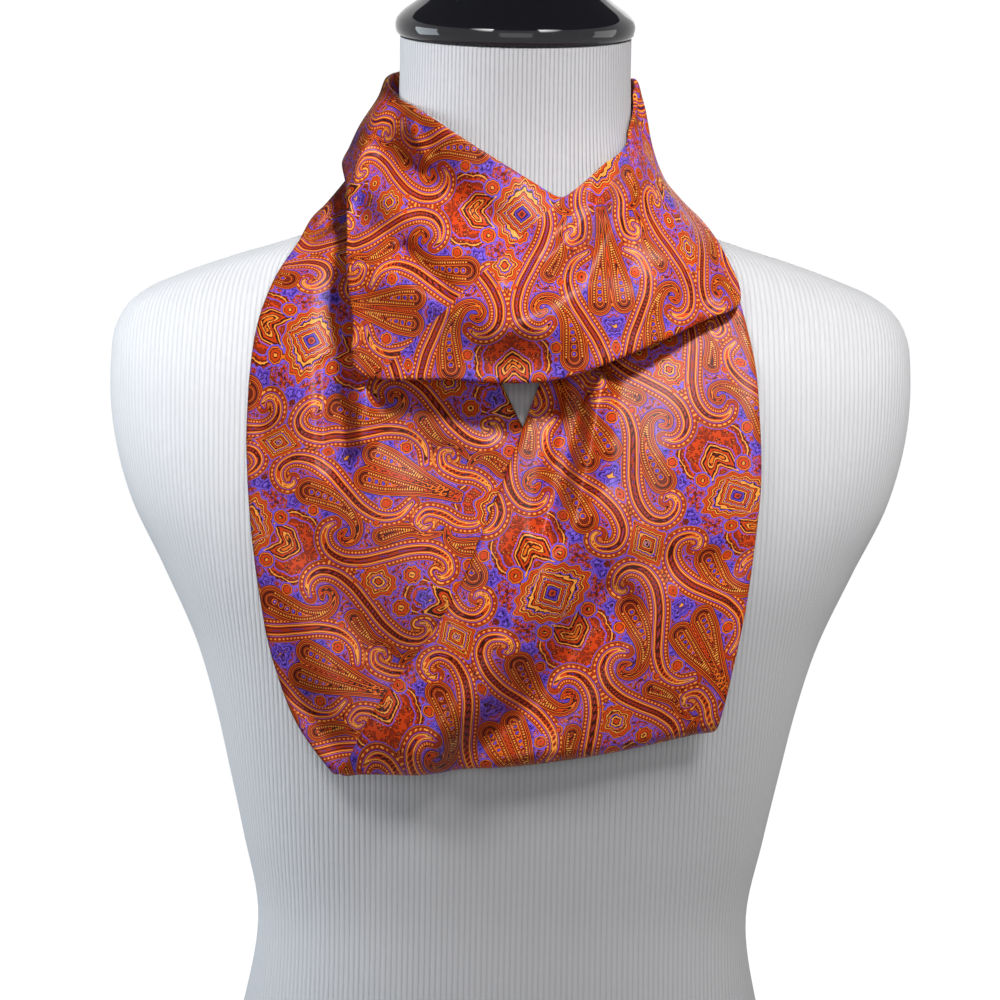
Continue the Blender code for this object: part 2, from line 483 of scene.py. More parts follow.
def wandering_value() -> bpy.types.NodeTree:
    """The effect that the finishes share: a value that wanders softly over a surface.

    Returns:
        The node group, built at the first call.
    """
    name = "wandering_value"
    if name in bpy.data.node_groups:
        return bpy.data.node_groups[name]
    group = bpy.data.node_groups.new(name, "ShaderNodeTree")
    group.interface.new_socket(name="Place", in_out="INPUT", socket_type="NodeSocketVector")
    for number in ("Scale", "Detail", "Least", "Spread"):
        group.interface.new_socket(name=number, in_out="INPUT", socket_type="NodeSocketFloat")
    group.interface.new_socket(name="Value", in_out="OUTPUT", socket_type="NodeSocketFloat")
    given, result = group.nodes.new("NodeGroupInput"), group.nodes.new("NodeGroupOutput")
    noise, height = group.nodes.new("ShaderNodeTexNoise"), group.nodes.new("ShaderNodeMath")
    height.operation = "MULTIPLY_ADD"
    group.links.new(given.outputs["Place"], noise.inputs["Vector"])
    group.links.new(given.outputs["Scale"], noise.inputs["Scale"])
    group.links.new(given.outputs["Detail"], noise.inputs["Detail"])
    group.links.new(noise.outputs["Fac"], height.inputs[0])
    group.links.new(given.outputs["Spread"], height.inputs[1])
    group.links.new(given.outputs["Least"], height.inputs[2])
    group.links.new(height.outputs[0], result.inputs["Value"])
    return group


def started(name: str) -> tuple[bpy.types.Material, Graph, bpy.types.Node]:
    """A new material with nodes.

    Args:
        name: Its name.

    Returns:
        The material, its graph and its shader.
    """
    material = bpy.data.materials.new(name)
    material.use_nodes = True
    return material, Graph(material.node_tree), material.node_tree.nodes["Principled BSDF"]


@dataclass
class PaisleyRepeat:
    """One repeat of the print, mirrored at all four sides: a traditional paisley of scrolls,
    teardrops and scalloped medallions. Places are in millimetres on the flat cloth."""

    half_width: float = 50.5
    half_height: float = 118.0
    curve_steps: int = 44
    scrolls: tuple = (
        (
            Bend(33, 14.5, 0.3),
            Bend(31, 16, 0.7),
            Bend(28.5, 14.5, 1.0),
            Bend(28, 11, 1.2),
            Bend(31, 7.3, 1.5),
            Bend(37.5, 5.8, 1.8),
            Bend(43, 10, 2.1),
            Bend(44.8, 18.5, 2.3),
            Bend(42.3, 29, 2.3),
            Bend(36, 41, 2.2),
            Bend(30.5, 52, 2.0),
            Bend(29.3, 61, 1.7),
            Bend(33, 69, 1.2),
            Bend(41, 73, 0.5),
        ),
        (
            Bend(19.3, 41.5, 0.3),
            Bend(16, 38.6, 0.9),
            Bend(11.5, 38.2, 1.4),
            Bend(5.8, 42, 1.9),
            Bend(3.9, 49.5, 2.1),
            Bend(6, 58, 2.2),
            Bend(12.5, 69, 2.2),
            Bend(19.5, 80, 2.1),
            Bend(22.6, 90, 1.9),
            Bend(20.5, 98, 1.5),
            Bend(15, 100.5, 1.2),
            Bend(11.5, 97, 0.9),
            Bend(13.2, 93.8, 0.4),
        ),
        (
            Bend(47.5, 108, 0.3),
            Bend(41, 104.5, 1.0),
            Bend(38.5, 97, 1.5),
            Bend(40, 88, 1.7),
            Bend(38, 80, 1.5),
            Bend(32.5, 78.5, 1.1),
            Bend(31, 82.5, 0.7),
            Bend(33.5, 84.3, 0.3),
        ),
    )
    teardrops: tuple = (
        (
            Bend(29.3, 24, 6.2),
            Bend(29.6, 33, 5.6),
            Bend(28.6, 41.2, 4.2),
            Bend(25, 48.3, 2.9),
            Bend(20, 52.6, 2.0),
            Bend(14.9, 52.6, 1.5),
            Bend(12.2, 49, 1.2),
            Bend(14.4, 45.8, 0.9),
            Bend(17.4, 47.2, 0.5),
        ),
        (
            Bend(44.3, 48.5, 5.2),
            Bend(44.8, 56, 4.9),
            Bend(46, 64, 3.8),
            Bend(47.6, 73, 2.7),
            Bend(48.9, 83, 1.7),
            Bend(49.2, 93, 0.7),
        ),
        (
            Bend(21, 64.5, 3.8),
            Bend(25.3, 70.5, 3.3),
            Bend(28.2, 77, 2.3),
            Bend(28.2, 84, 1.4),
            Bend(30.8, 90, 0.5),
        ),
        (
            Bend(30.3, 108.5, 4.2),
            Bend(28, 101, 3.4),
            Bend(30, 94.5, 1.6),
            Bend(34.3, 92.5, 0.6),
        ),
    )
    # the two large medallions come first
    medallions: tuple = (
        Disc(0, 0, 19.6, 14.0, 1.5, 14, 0.06),
        Disc(50.5, 118, 17.5, 16.5, 1.6, 12, 0.06),
        Disc(50.5, 0, 10.2, 13.4, 1.0, 12, 0.04),
        Disc(0, 118, 8.5, 12.0, 1.0, 12, 0.04),
        Disc(0, 70, 8, 10, 1.3, 7, 0.12),
        Disc(11.6, 15.2, 3.6, 3.6, 2, 8, 0.06),
        Disc(50.5, 27, 2.6, 4.2, 1.2, 2, 0.0),
        Disc(8.4, 84, 4.2, 4.2, 2, 8, 0.1),
        Disc(9.6, 107, 3.4, 3.4, 2, 8, 0.1),
        Disc(21.5, 108, 3.2, 3.2, 2, 8, 0.1),
        Disc(36.3, 61.5, 3, 3, 2, 8, 0.1),
        Disc(21, 29.5, 2.8, 2.8, 2, 8, 0.1),
        Disc(26.3, 60, 2.4, 2.4, 2, 8, 0.1),
        Disc(4.5, 59, 2.6, 3.4, 1.2, 4, 0.0),
        Disc(38.5, 113.5, 2.8, 2.8, 2, 8, 0.1),
    )
    # the inner outlines of the two large medallions
    hearts: tuple = (
        Disc(0, 0, 11.5, 12.4, 1.05, 12, 0.05),
        Disc(50.5, 118, 10.5, 10.5, 1.2, 12, 0.05),
    )
    heart_depth: float = 6.0
    # (along the column, half width, depth) of each arrow-shaped cap above and below a medallion
    caps: tuple = ((18.6, 8.6, 12), (99.5, 7.4, 10))
    cap_slope: float = 0.85
    cap_side: float = 1.25
    cap_ripple: float = 0.25
    cap_ripples: float = 1.6
    # (across, up, radius) of the dark flowery rounds that the caps lie on
    wreaths: tuple = ((0, 25.5, 18.6), (50.5, 104, 14), (50.5, 62, 9.5), (0, 92, 10))
    stars: tuple = (
        (20.3, 38.6, 3.7),
        (22.2, 19.2, 3.4),
        (50.5, 36.5, 5.2),
        (37.5, 90, 4.2),
        (36.6, 51.5, 3.2),
        (9.5, 63.5, 3.0),
        (0, 95, 4.5),
        (31.5, 113.5, 3.4),
        (25.5, 2.5, 2.6),
    )

    wreath_scallop: float = 0.06
    wreath_scallops: int = 6
    star_point: float = 0.28
    star_points: int = 5
    at_once: int = 8192
    far_off: float = 99.0

    def folded(self, places: np.ndarray) -> np.ndarray:
        """The places, mirrored back into the one repeat.

        Args:
            places: Places on the flat cloth.

        Returns:
            Places in the one repeat.
        """
        size = np.array([self.half_width, self.half_height])
        return size - np.abs(np.mod(places, 2 * size) - size)

    def drawn(self, bends: Sequence[Bend]) -> tuple[np.ndarray, np.ndarray]:
        """Draws a figure's fine middle line.

        Args:
            bends: The figure's bends.

        Returns:
            The line with its half widths, and how far along it each point is.
        """
        line = curve_through(bends, np.linspace(0, 1, self.curve_steps + 1))
        steps = np.linalg.norm(np.diff(line[:, :2], axis=0), axis=1)
        return line, np.append(0, np.cumsum(steps))

    def off_lines(self, places: np.ndarray, figures: Sequence) -> np.ndarray:
        """How each place lies to the nearest of these figures.

        Args:
            places: Places in the one repeat.
            figures: The figures' bends.

        Returns:
            For each place, how far outside the figure's edge it is, how far along the figure's
            middle line, and how far from that line.
        """
        best = np.full((len(places), 3), self.far_off)
        for bends in figures:
            line, reached = self.drawn(bends)
            starts, runs = line[:-1, :2], np.diff(line[:, :2], axis=0)
            squares = (runs**2).sum(1)
            for first in range(0, len(places), self.at_once):
                part = slice(first, first + self.at_once)
                some = places[part]
                offset = some[:, None] - starts[None]
                share = np.clip((offset * runs).sum(2) / squares, 0, 1)
                away = np.linalg.norm(offset - share[..., None] * runs, axis=2)
                width = line[:-1, 2] + share * np.diff(line[:, 2])
                near = np.argmin(away - width, axis=1)
                pick = (np.arange(len(some)), near)
                along = reached[near] + share[pick] * squares[near] ** 0.5
                found = np.stack([away[pick] - width[pick], along, away[pick]], axis=1)
                closer = found[:, 0] < best[part, 0]
                best[part][closer] = found[closer]
        return best

    def off_disc(self, places: np.ndarray, disc: Disc) -> tuple[np.ndarray, np.ndarray]:
        """How each place lies to a disc's scalloped edge.

        Args:
            places: Places in the one repeat.
            disc: The disc.

        Returns:
            How far outside the edge each place is, and how far round it.
        """
        x, y = np.abs(places - (disc.across, disc.up)).T
        wide, high = disc.radius_across, disc.radius_up
        power = disc.squareness
        ratio = ((x / wide) ** power + (y / high) ** power) ** (1 / power)
        bearing = np.arctan2(y / high, x / wide)
        edge = 1 + disc.depth * np.cos(disc.scallops * bearing)
        mean = (wide + high) / 2
        return (ratio / edge - 1) * mean, bearing * mean

    def off_medallions(self, places: np.ndarray) -> np.ndarray:
        """How each place lies to the nearest medallion, diamond or rosette.

        Args:
            places: Places in the one repeat.

        Returns:
            For each place, how far outside the edge it is, how far round the figure, and how far
            outside the nearest dark round.
        """
        best = np.full((len(places), 3), self.far_off)
        for disc in self.medallions:
            away, around = self.off_disc(places, disc)
            closer = away < best[:, 0]
            best[closer, 0], best[closer, 1] = away[closer], around[closer]
        for heart in self.hearts:
            away, around = self.off_disc(places, heart)
            within = away < 0
            best[within, 0] = away[within] - self.heart_depth
            best[within, 1] = around[within]
            near = (away >= 0) & (away < self.heart_depth)
            best[near, 0] = np.maximum(best[near, 0], -self.heart_depth)
        for across, up, radius in self.wreaths:
            x, y = (places - (across, up)).T
            scallops = np.abs(np.sin(self.wreath_scallops * np.arctan2(y, x)))
            edge = radius * (1 + self.wreath_scallop * scallops)
            best[:, 2] = np.minimum(best[:, 2], np.hypot(x, y) - edge)
        return best

    def off_caps(self, places: np.ndarray) -> np.ndarray:
        """How far outside the nearest arrow-shaped cap each place is.

        Args:
            places: Places in the one repeat.

        Returns:
            The distances.
        """
        best = np.full(len(places), self.far_off)
        x = places[:, 0]
        for up, half_width, depth in self.caps:
            rise = places[:, 1] + self.cap_slope * x - up - depth / 2
            away = np.maximum(np.abs(rise) - depth / 2, (x - half_width) * self.cap_side) / self.cap_side
            best = np.minimum(best, away + self.cap_ripple * np.sin(self.cap_ripples * x))
        return best

    def off_stars(self, places: np.ndarray) -> np.ndarray:
        """How far outside the nearest violet star each place is.

        Args:
            places: Places in the one repeat.

        Returns:
            The distances.
        """
        best = np.full(len(places), self.far_off)
        for across, up, radius in self.stars:
            x, y = (places - (across, up)).T
            points = 1 + self.star_point * np.cos(self.star_points * np.arctan2(y, x))
            best = np.minimum(best, np.hypot(x, y) - radius * points)
        return best

    def fields(self, places: np.ndarray) -> dict[str, np.ndarray]:
        """What the satin's material reads at each place on the flat cloth.

        Args:
            places: Places on the flat cloth.

        Returns:
            A vector for each place under the names scroll, teardrop, medallion and small.
        """
        inside = self.folded(places)
        small = np.zeros((len(inside), 3))
        small[:, 0] = self.off_stars(inside)
        small[:, 1] = self.off_caps(inside)
        return {
            "scroll": self.off_lines(inside, self.scrolls),
            "teardrop": self.off_lines(inside, self.teardrops),
            "medallion": self.off_medallions(inside),
            "small": small,
        }


@dataclass(frozen=True)
class SatinFinish:
    """Printed satin: a busy paisley in rust, orange and violet under a soft sheen.

    Each row of a table of bands says where a band of dye ends, counted out from the figure's edge, or
    from the middle of a speck, seed, flower or pebble. Scales are for each millimetre of cloth.
    """

    repeat: PaisleyRepeat
    roughness: float = 0.36
    uneven_gloss: float = 0.12
    gloss_scale: float = 0.08
    specular: float = 0.2
    sheen: float = 0.02
    sheen_roughness: float = 0.4
    twill_per_mm: float = 1.6
    twill_strength: float = 0.25
    twill_height: float = 0.00008
    scroll_lead: float = 1.6
    gap: float = 1.6
    scroll_from: float = -4
    scroll_bands: tuple = (
        (-1.9, Shade.INDIGO),
        (-1.5, Shade.RUST),
        (-1.0, Shade.BROWN),
        (-0.6, Shade.RED),
        (-0.1, Shade.PALE),
        (0.15, Shade.BROWN),
        (0.45, Shade.ORANGE),
        (0.75, Shade.VIOLET),
        (1.0, Shade.UMBER),
        (2.5, Shade.RUST),
        (2.8, Shade.BROWN),
        (3.1, Shade.ORANGE),
        (3.35, Shade.UMBER),
        (3.65, Shade.LILAC),
        (6, Shade.RUST),
    )
    scroll_edge: float = 3.65
    scroll_border: Dots = Dots(1.75, 1.9, 0.45, Shade.PALE)
    scroll_chain: Dots = Dots(0, 1.3, 0.32, Shade.VIOLET)
    teardrop_from: float = -8
    teardrop_bands: tuple = (
        (-3.7, Shade.UMBER),
        (-3.4, Shade.ORANGE),
        (-3.0, Shade.BROWN),
        (-2.75, Shade.RED),
        (-1.75, Shade.BROWN),
        (-1.5, Shade.RED),
        (-1.1, Shade.BROWN),
        (-0.75, Shade.ORANGE),
        (-0.35, Shade.BROWN),
        (0.1, Shade.RED),
        (0.45, Shade.UMBER),
        (0.75, Shade.ORANGE),
        (1.1, Shade.BROWN),
        (1.5, Shade.VIOLET),
        (4, Shade.RUST),
    )
    teardrop_edge: float = 1.5
    teardrop_core: float = -3.7
    teardrop_beads: Dots = Dots(-2.2, 1.15, 0.36, Shade.PALE)
    teardrop_rosettes: tuple = (
        Dots(0, 3.4, 1.5, Shade.ORANGE),
        Dots(0, 3.4, 1.2, Shade.BROWN),
        Dots(0, 3.4, 0.95, Shade.VIOLET),
        Dots(0, 3.4, 0.4, Shade.PALE),
    )
    medallion_from: float = -20
    medallion_bands: tuple = (
        (-17.4, Shade.PALE),
        (-16.6, Shade.UMBER),
        (-15.8, Shade.RED),
        (-14.9, Shade.INDIGO),
        (-13.9, Shade.VIOLET),
        (-13.3, Shade.BROWN),
        (-12.6, Shade.PALE),
        (-12.2, Shade.BROWN),
        (-11.0, Shade.RED),
        (-10.6, Shade.BROWN),
        (-9.8, Shade.VIOLET),
        (-9.4, Shade.BROWN),
        (-8.8, Shade.PALE),
        (-8.4, Shade.BROWN),
        (-7.4, Shade.RED),
        (-6.7, Shade.BROWN),
        (-6.0, Shade.PALE),
        (-5.5, Shade.BROWN),
        (-5.1, Shade.LILAC),
        (-3.7, Shade.RUST),
        (-3.3, Shade.BROWN),
        (-2.7, Shade.PALE),
        (-2.3, Shade.BROWN),
        (-1.0, Shade.RED),
        (-0.6, Shade.BROWN),
        (-0.1, Shade.ORANGE),
        (0.2, Shade.UMBER),
        (0.9, Shade.LILAC),
        (4, Shade.RUST),
    )
    medallion_edge: float = 0.9
    medallion_beads: Dots = Dots(-4.5, 1.7, 0.42, Shade.PALE)
    medallion_pearls: Dots = Dots(-10.2, 1.5, 0.4, Shade.PALE)
    cap_from: float = -6
    cap_bands: tuple = (
        (-4.2, Shade.ORANGE),
        (-3.6, Shade.BROWN),
        (-3.1, Shade.PALE),
        (-2.7, Shade.BROWN),
        (-1.9, Shade.RED),
        (-0.9, Shade.BROWN),
        (-0.3, Shade.PALE),
        (0.2, Shade.BROWN),
        (0.6, Shade.RED),
        (1.0, Shade.LILAC),
        (4, Shade.UMBER),
    )
    cap_edge: float = 1.0
    cap_speck_scale: float = 0.8
    cap_speck: float = 0.25
    cap_specks_within: float = -0.9
    star_from: float = -7
    star_bands: tuple = (
        (-4.3, Shade.PALE),
        (-3.7, Shade.BROWN),
        (-3.0, Shade.VIOLET),
        (-2.4, Shade.BROWN),
        (-1.4, Shade.LILAC),
        (-0.7, Shade.INDIGO),
        (0.2, Shade.VIOLET),
        (0.7, Shade.LILAC),
        (2, Shade.BROWN),
    )
    star_edge: float = 1.0
    star_waver: float = 0.8
    waver_scale: float = 0.9
    waver: float = 3.0
    wreath_scale: float = 0.66
    wreath_bands: tuple = (
        (0.17, Shade.PALE),
        (0.32, Shade.UMBER),
        (0.48, Shade.RUST),
        (0.58, Shade.BROWN),
        (1.0, Shade.RED),
    )
    wreath_waver: float = 0.35
    wreath_rings: tuple = (
        (-1.6, Shade.BROWN),
        (-2.3, Shade.PALE),
        (-3.0, Shade.UMBER),
        (-5.2, Shade.LILAC),
    )
    wreath_ring: float = 0.3
    wreath_rim: float = 0.45
    wander_scale: float = 0.5
    wander: float = 2.0
    seed_scale: float = 0.7
    seed_bands: tuple = (
        (0.13, Shade.PALE),
        (0.22, Shade.BROWN),
        (0.40, Shade.RED),
        (0.47, Shade.UMBER),
        (0.6, Shade.RED),
        (0.72, Shade.BROWN),
        (1.0, Shade.UMBER),
    )
    flower_scale: float = 0.2
    flower_bands: tuple = (
        (0.06, Shade.PALE),
        (0.10, Shade.INDIGO),
        (0.14, Shade.ORANGE),
        (0.18, Shade.BROWN),
        (0.23, Shade.ORANGE),
        (0.27, Shade.BROWN),
        (1.0, Shade.RUST),
    )
    flower_edge: float = 0.27
    lace_scale: float = 0.36
    lace: float = 0.02
    pool_scale: float = 0.55
    pool_waver: float = 6.0
    pool_reach: float = 0.3
    pebble_scale: float = 0.85
    pebble_bands: tuple = (
        (0.2, Shade.PALE),
        (0.32, Shade.UMBER),
        (1.0, Shade.RUST),
    )
    pebble_seam: float = 0.13

    def dotted(
        self,
        graph: Graph,
        colour: Socket,
        row: Dots,
        off: Socket,
        along: Socket,
        within: Value = 1.0,
    ) -> Socket:
        """Lays a row of round dots over a colour.

        Args:
            graph: The material's nodes.
            colour: The colour so far.
            row: The row of dots.
            off: The distance that the row's place is counted in.
            along: The distance along the figure.
            within: 1 where the dots may lie.

        Returns:
            The colour with the dots.
        """
        step = graph.maths("SUBTRACT", graph.maths("FRACT", graph.maths("DIVIDE", along, row.pitch)), 0.5)
        run = graph.maths("MULTIPLY", step, row.pitch)
        away = graph.maths("SUBTRACT", off, row.out)
        square = graph.maths("MULTIPLY_ADD", run, run, graph.maths("MULTIPLY", away, away))
        dot = graph.below(square, row.radius**2)
        return graph.mixed(graph.both(within, dot), colour, row.shade.value)

    def ground(self, graph: Graph, place: Socket, border: Socket) -> Socket:
        """The small flowers, seeds, pebbles and tracery that fill the ground.

        Args:
            graph: The material's nodes.
            place: The place in the one repeat, in millimetres.
            border: How far outside the nearest figure the place is.

        Returns:
            The ground's colour.
        """
        x, y, _ = graph.parts(place)
        drift = graph.maths("SUBTRACT", graph.noise(place, self.wander_scale, 2), 0.5)
        shift = graph.maths("MULTIPLY", drift, self.wander)
        moved = graph.joined(graph.maths("ADD", x, shift), graph.maths("SUBTRACT", y, shift))
        colour = graph.bands(graph.cells(moved, self.seed_scale), 0, self.seed_bands)
        flowers = graph.cells(moved, self.flower_scale)
        petals = graph.bands(flowers, 0, self.flower_bands)
        colour = graph.mixed(graph.below(flowers, self.flower_edge), colour, petals)
        level = graph.maths("SUBTRACT", graph.noise(place, self.lace_scale, 2), 0.5)
        lace = graph.below(graph.maths("ABSOLUTE", level), self.lace)
        colour = graph.mixed(lace, colour, Shade.LILAC.value)
        ragged = graph.maths("SUBTRACT", graph.noise(place, self.pool_scale, 3), 0.5)
        shore = graph.maths("MULTIPLY_ADD", ragged, self.pool_waver, border)
        outside = graph.maths("GREATER_THAN", border, 0.0)
        pool = graph.both(graph.below(shore, self.pool_reach), outside)
        pebbles = graph.bands(graph.cells(place, self.pebble_scale), 0, self.pebble_bands)
        between = graph.cells(place, self.pebble_scale, "DISTANCE_TO_EDGE")
        inlay = graph.mixed(graph.below(between, self.pebble_seam), pebbles, Shade.LILAC.value)
        return graph.mixed(pool, colour, inlay)

    def wreath_colour(
        self,
        graph: Graph,
        place: Socket,
        wreath: Socket,
        waver: Socket,
        under: Socket,
    ) -> Socket:
        """The dark flowery rounds with their rings and rims.

        Args:
            graph: The material's nodes.
            place: The place in the one repeat.
            wreath: How far outside the nearest round the place is.
            waver: The unsteadiness of outlines.
            under: The colour under the rounds.

        Returns:
            The colour with the rounds.
        """
        specks = graph.bands(graph.cells(place, self.wreath_scale), 0, self.wreath_bands)
        inner = graph.maths("MULTIPLY_ADD", waver, self.wreath_waver, wreath)
        for out, shade in self.wreath_rings:
            away = graph.maths("ABSOLUTE", graph.maths("SUBTRACT", inner, out))
            specks = graph.mixed(graph.below(away, self.wreath_ring), specks, shade.value)
        ragged = graph.maths("ADD", wreath, waver)
        colour = graph.mixed(graph.below(ragged, 0), under, specks)
        rim = graph.below(graph.maths("ABSOLUTE", ragged), self.wreath_rim)
        return graph.mixed(rim, colour, Shade.LILAC.value)

    def scroll_colour(self, graph: Graph, off: Socket, along: Socket, away: Socket) -> Socket:
        """A scroll: two pale lines with a dark band between, and a dotted border.

        Args:
            graph: The material's nodes.
            off: How far outside the scroll's edge the place is.
            along: How far along its middle line.
            away: How far from that line.

        Returns:
            The scroll's colour.
        """
        colour = graph.bands(off, self.scroll_from, self.scroll_bands)
        colour = self.dotted(graph, colour, self.scroll_border, off, along)
        return self.dotted(graph, colour, self.scroll_chain, away, along)

    def teardrop_colour(self, graph: Graph, off: Socket, along: Socket, away: Socket) -> Socket:
        """A teardrop: outline within outline round a chain of rosettes.

        Args:
            graph: The material's nodes.
            off: How far outside the teardrop's edge the place is.
            along: How far along its middle line.
            away: How far from that line.

        Returns:
            The teardrop's colour.
        """
        colour = graph.bands(off, self.teardrop_from, self.teardrop_bands)
        colour = self.dotted(graph, colour, self.teardrop_beads, off, along)
        core = graph.below(off, self.teardrop_core)
        for ring in self.teardrop_rosettes:
            colour = self.dotted(graph, colour, ring, away, along, core)
        return colour

    def medallion_colour(self, graph: Graph, off: Socket, around: Socket) -> Socket:
        """A medallion: scalloped outlines, one inside the other.

        Args:
            graph: The material's nodes.
            off: How far outside the medallion's edge the place is.
            around: How far round the medallion.

        Returns:
            The medallion's colour.
        """
        colour = graph.bands(off, self.medallion_from, self.medallion_bands)
        colour = self.dotted(graph, colour, self.medallion_beads, off, around)
        return self.dotted(graph, colour, self.medallion_pearls, off, around)

    def cap_colour(self, graph: Graph, off: Socket, place: Socket) -> Socket:
        """An arrow-shaped cap: dark, in pale outlines.

        Args:
            graph: The material's nodes.
            off: How far outside the cap's edge the place is.
            place: The place in the one repeat.

        Returns:
            The cap's colour.
        """
        colour = graph.bands(off, self.cap_from, self.cap_bands)
        speck = graph.below(graph.cells(place, self.cap_speck_scale), self.cap_speck)
        specks = graph.both(speck, graph.below(off, self.cap_specks_within))
        return graph.mixed(specks, colour, Shade.RED.value)

    def printed(self, graph: Graph, place: Socket) -> Socket:
        """The whole print: each figure is over its ground, and meets its neighbours half way.

        Args:
            graph: The material's nodes.
            place: The place in the one repeat, in millimetres.

        Returns:
            The print's colour.
        """
        unsteady = graph.maths("SUBTRACT", graph.noise(place, self.waver_scale, 2), 0.5)
        waver = graph.maths("MULTIPLY", unsteady, self.waver)
        scroll, scroll_along, scroll_away = graph.parts(graph.attribute("scroll"))
        drop, drop_along, drop_away = graph.parts(graph.attribute("teardrop"))
        disc, disc_round, wreath = graph.parts(graph.attribute("medallion"))
        star, cap, _ = graph.parts(graph.attribute("small"))
        outline = graph.maths("SUBTRACT", scroll, self.scroll_lead)
        others = graph.maths("MINIMUM", drop, disc)
        border = graph.maths("SUBTRACT", graph.maths("MINIMUM", outline, others), self.gap)
        colour = self.ground(graph, place, border)
        colour = self.wreath_colour(graph, place, wreath, waver, colour)
        petals = graph.maths("MULTIPLY_ADD", waver, self.star_waver, star)
        stars = graph.bands(petals, self.star_from, self.star_bands)
        colour = graph.mixed(graph.below(petals, self.star_edge), colour, stars)
        colour = graph.mixed(graph.below(cap, self.cap_edge), colour, self.cap_colour(graph, cap, place))
        nearest = graph.below(disc, graph.maths("MINIMUM", outline, drop))
        discs = graph.both(graph.below(disc, self.medallion_edge), nearest)
        colour = graph.mixed(discs, colour, self.medallion_colour(graph, disc, disc_round))
        nearest = graph.below(drop, graph.maths("MINIMUM", outline, disc))
        drops = graph.both(graph.below(drop, self.teardrop_edge), nearest)
        colour = graph.mixed(drops, colour, self.teardrop_colour(graph, drop, drop_along, drop_away))
        lines = graph.both(graph.below(scroll, self.scroll_edge), graph.below(outline, others))
        scrolls = self.scroll_colour(graph, scroll, scroll_along, scroll_away)
        return graph.mixed(lines, colour, scrolls)

    def material(self) -> bpy.types.Material:
        """The satin's material, which reads the pieces' own print places.

        Returns:
            The material.
        """
        material, graph, shader = started("printed_satin")
        x, y, _ = graph.parts(graph.add("UVMap", uv_map="print").outputs[0])
        place = graph.joined(
            graph.maths("PINGPONG", x, self.repeat.half_width),
            graph.maths("PINGPONG", y, self.repeat.half_height),
        )
        graph.feed(shader.inputs["Base Color"], self.printed(graph, place))
        least = self.roughness - self.uneven_gloss / 2
        rough = graph.uneven(graph.joined(x, y), self.gloss_scale, 2, least, self.uneven_gloss)
        graph.feed(shader.inputs["Roughness"], rough)
        threads = graph.maths("MULTIPLY", graph.maths("ADD", x, y), 2 * pi * self.twill_per_mm)
        twill = graph.maths("SINE", threads)
        graph.feed(shader.inputs["Normal"], graph.bump(twill, self.twill_strength, self.twill_height))
        shader.inputs["Sheen Weight"].default_value = self.sheen
        shader.inputs["Sheen Roughness"].default_value = self.sheen_roughness
        shader.inputs["Specular IOR Level"].default_value = self.specular
        return material


@dataclass(frozen=True)
class JerseyFinish:
    """Light grey jersey, knitted in fine upright ribs, close on the neck and wider on the torso, with
    painted shade in the grooves between the ribs.
    """

    colour: Colour = (0.72, 0.72, 0.74)
    # painted shade in the grooves between the ribs: its colour, and how strong it is on the torso and on
    # the neck
    groove_shade: Colour = (0.36, 0.36, 0.385)
    torso_groove_shade: float = 0.26
    neck_groove_shade: float = 0.34
    roughness: float = 0.92
    uneven_gloss: float = 0.1
    fuzz_scale: float = 900
    fuzz_height: float = 0.35
    # how unevenly the painted shade in the grooves lies over the surface
    groove_shade_scale: float = 260
    groove_shade_spread: float = 0.9
    least_groove_shade: float = 0.55
    rib_strength: float = 0.55
    rib_height: float = 0.0005
    sheen: float = 0.15

    def material(self) -> bpy.types.Material:
        """The jersey's material, which reads the ribs' count from the mesh and paints shade into the
        grooves between the ribs.

        Returns:
            The material.
        """
        material, graph, shader = started("ribbed_jersey")
        torso, neck, on_neck = graph.parts(graph.attribute("ribs"))
        place = graph.add("TexCoord").outputs["Object"]
        chosen = graph.maths("GREATER_THAN", on_neck, 0.5)
        count = graph.maths("ADD", graph.both(neck, chosen), graph.both(torso, graph.below(on_neck, 0.5)))
        turn = graph.maths("MULTIPLY", count, 2 * pi)
        wave = graph.maths("MULTIPLY_ADD", graph.maths("COSINE", turn), 0.5, 0.5)
        deep = graph.maths("POWER", graph.maths("SUBTRACT", 1.0, wave), 3.0)
        # painted shade: the grooves between the ribs are darkened in colour, more on the neck, unevenly
        # over the surface
        faint = graph.maths("MULTIPLY_ADD", chosen, self.neck_groove_shade, self.torso_groove_shade)
        uneven_groove_shade = graph.uneven(place, self.groove_shade_scale, 2, self.least_groove_shade, self.groove_shade_spread)
        share = graph.both(graph.both(deep, faint), uneven_groove_shade)
        graph.feed(shader.inputs["Base Color"], graph.mixed(share, self.colour, self.groove_shade))
        least = self.roughness - self.uneven_gloss / 2
        rough = graph.uneven(place, self.fuzz_scale, 2, least, self.uneven_gloss)
        graph.feed(shader.inputs["Roughness"], rough)
        ribs = graph.maths("SUBTRACT", 1.0, deep)
        height = graph.maths("MULTIPLY_ADD", graph.noise(place, self.fuzz_scale, 2), self.fuzz_height, ribs)
        graph.feed(shader.inputs["Normal"], graph.bump(height, self.rib_strength, self.rib_height))
        shader.inputs["Sheen Weight"].default_value = self.sheen
        return material


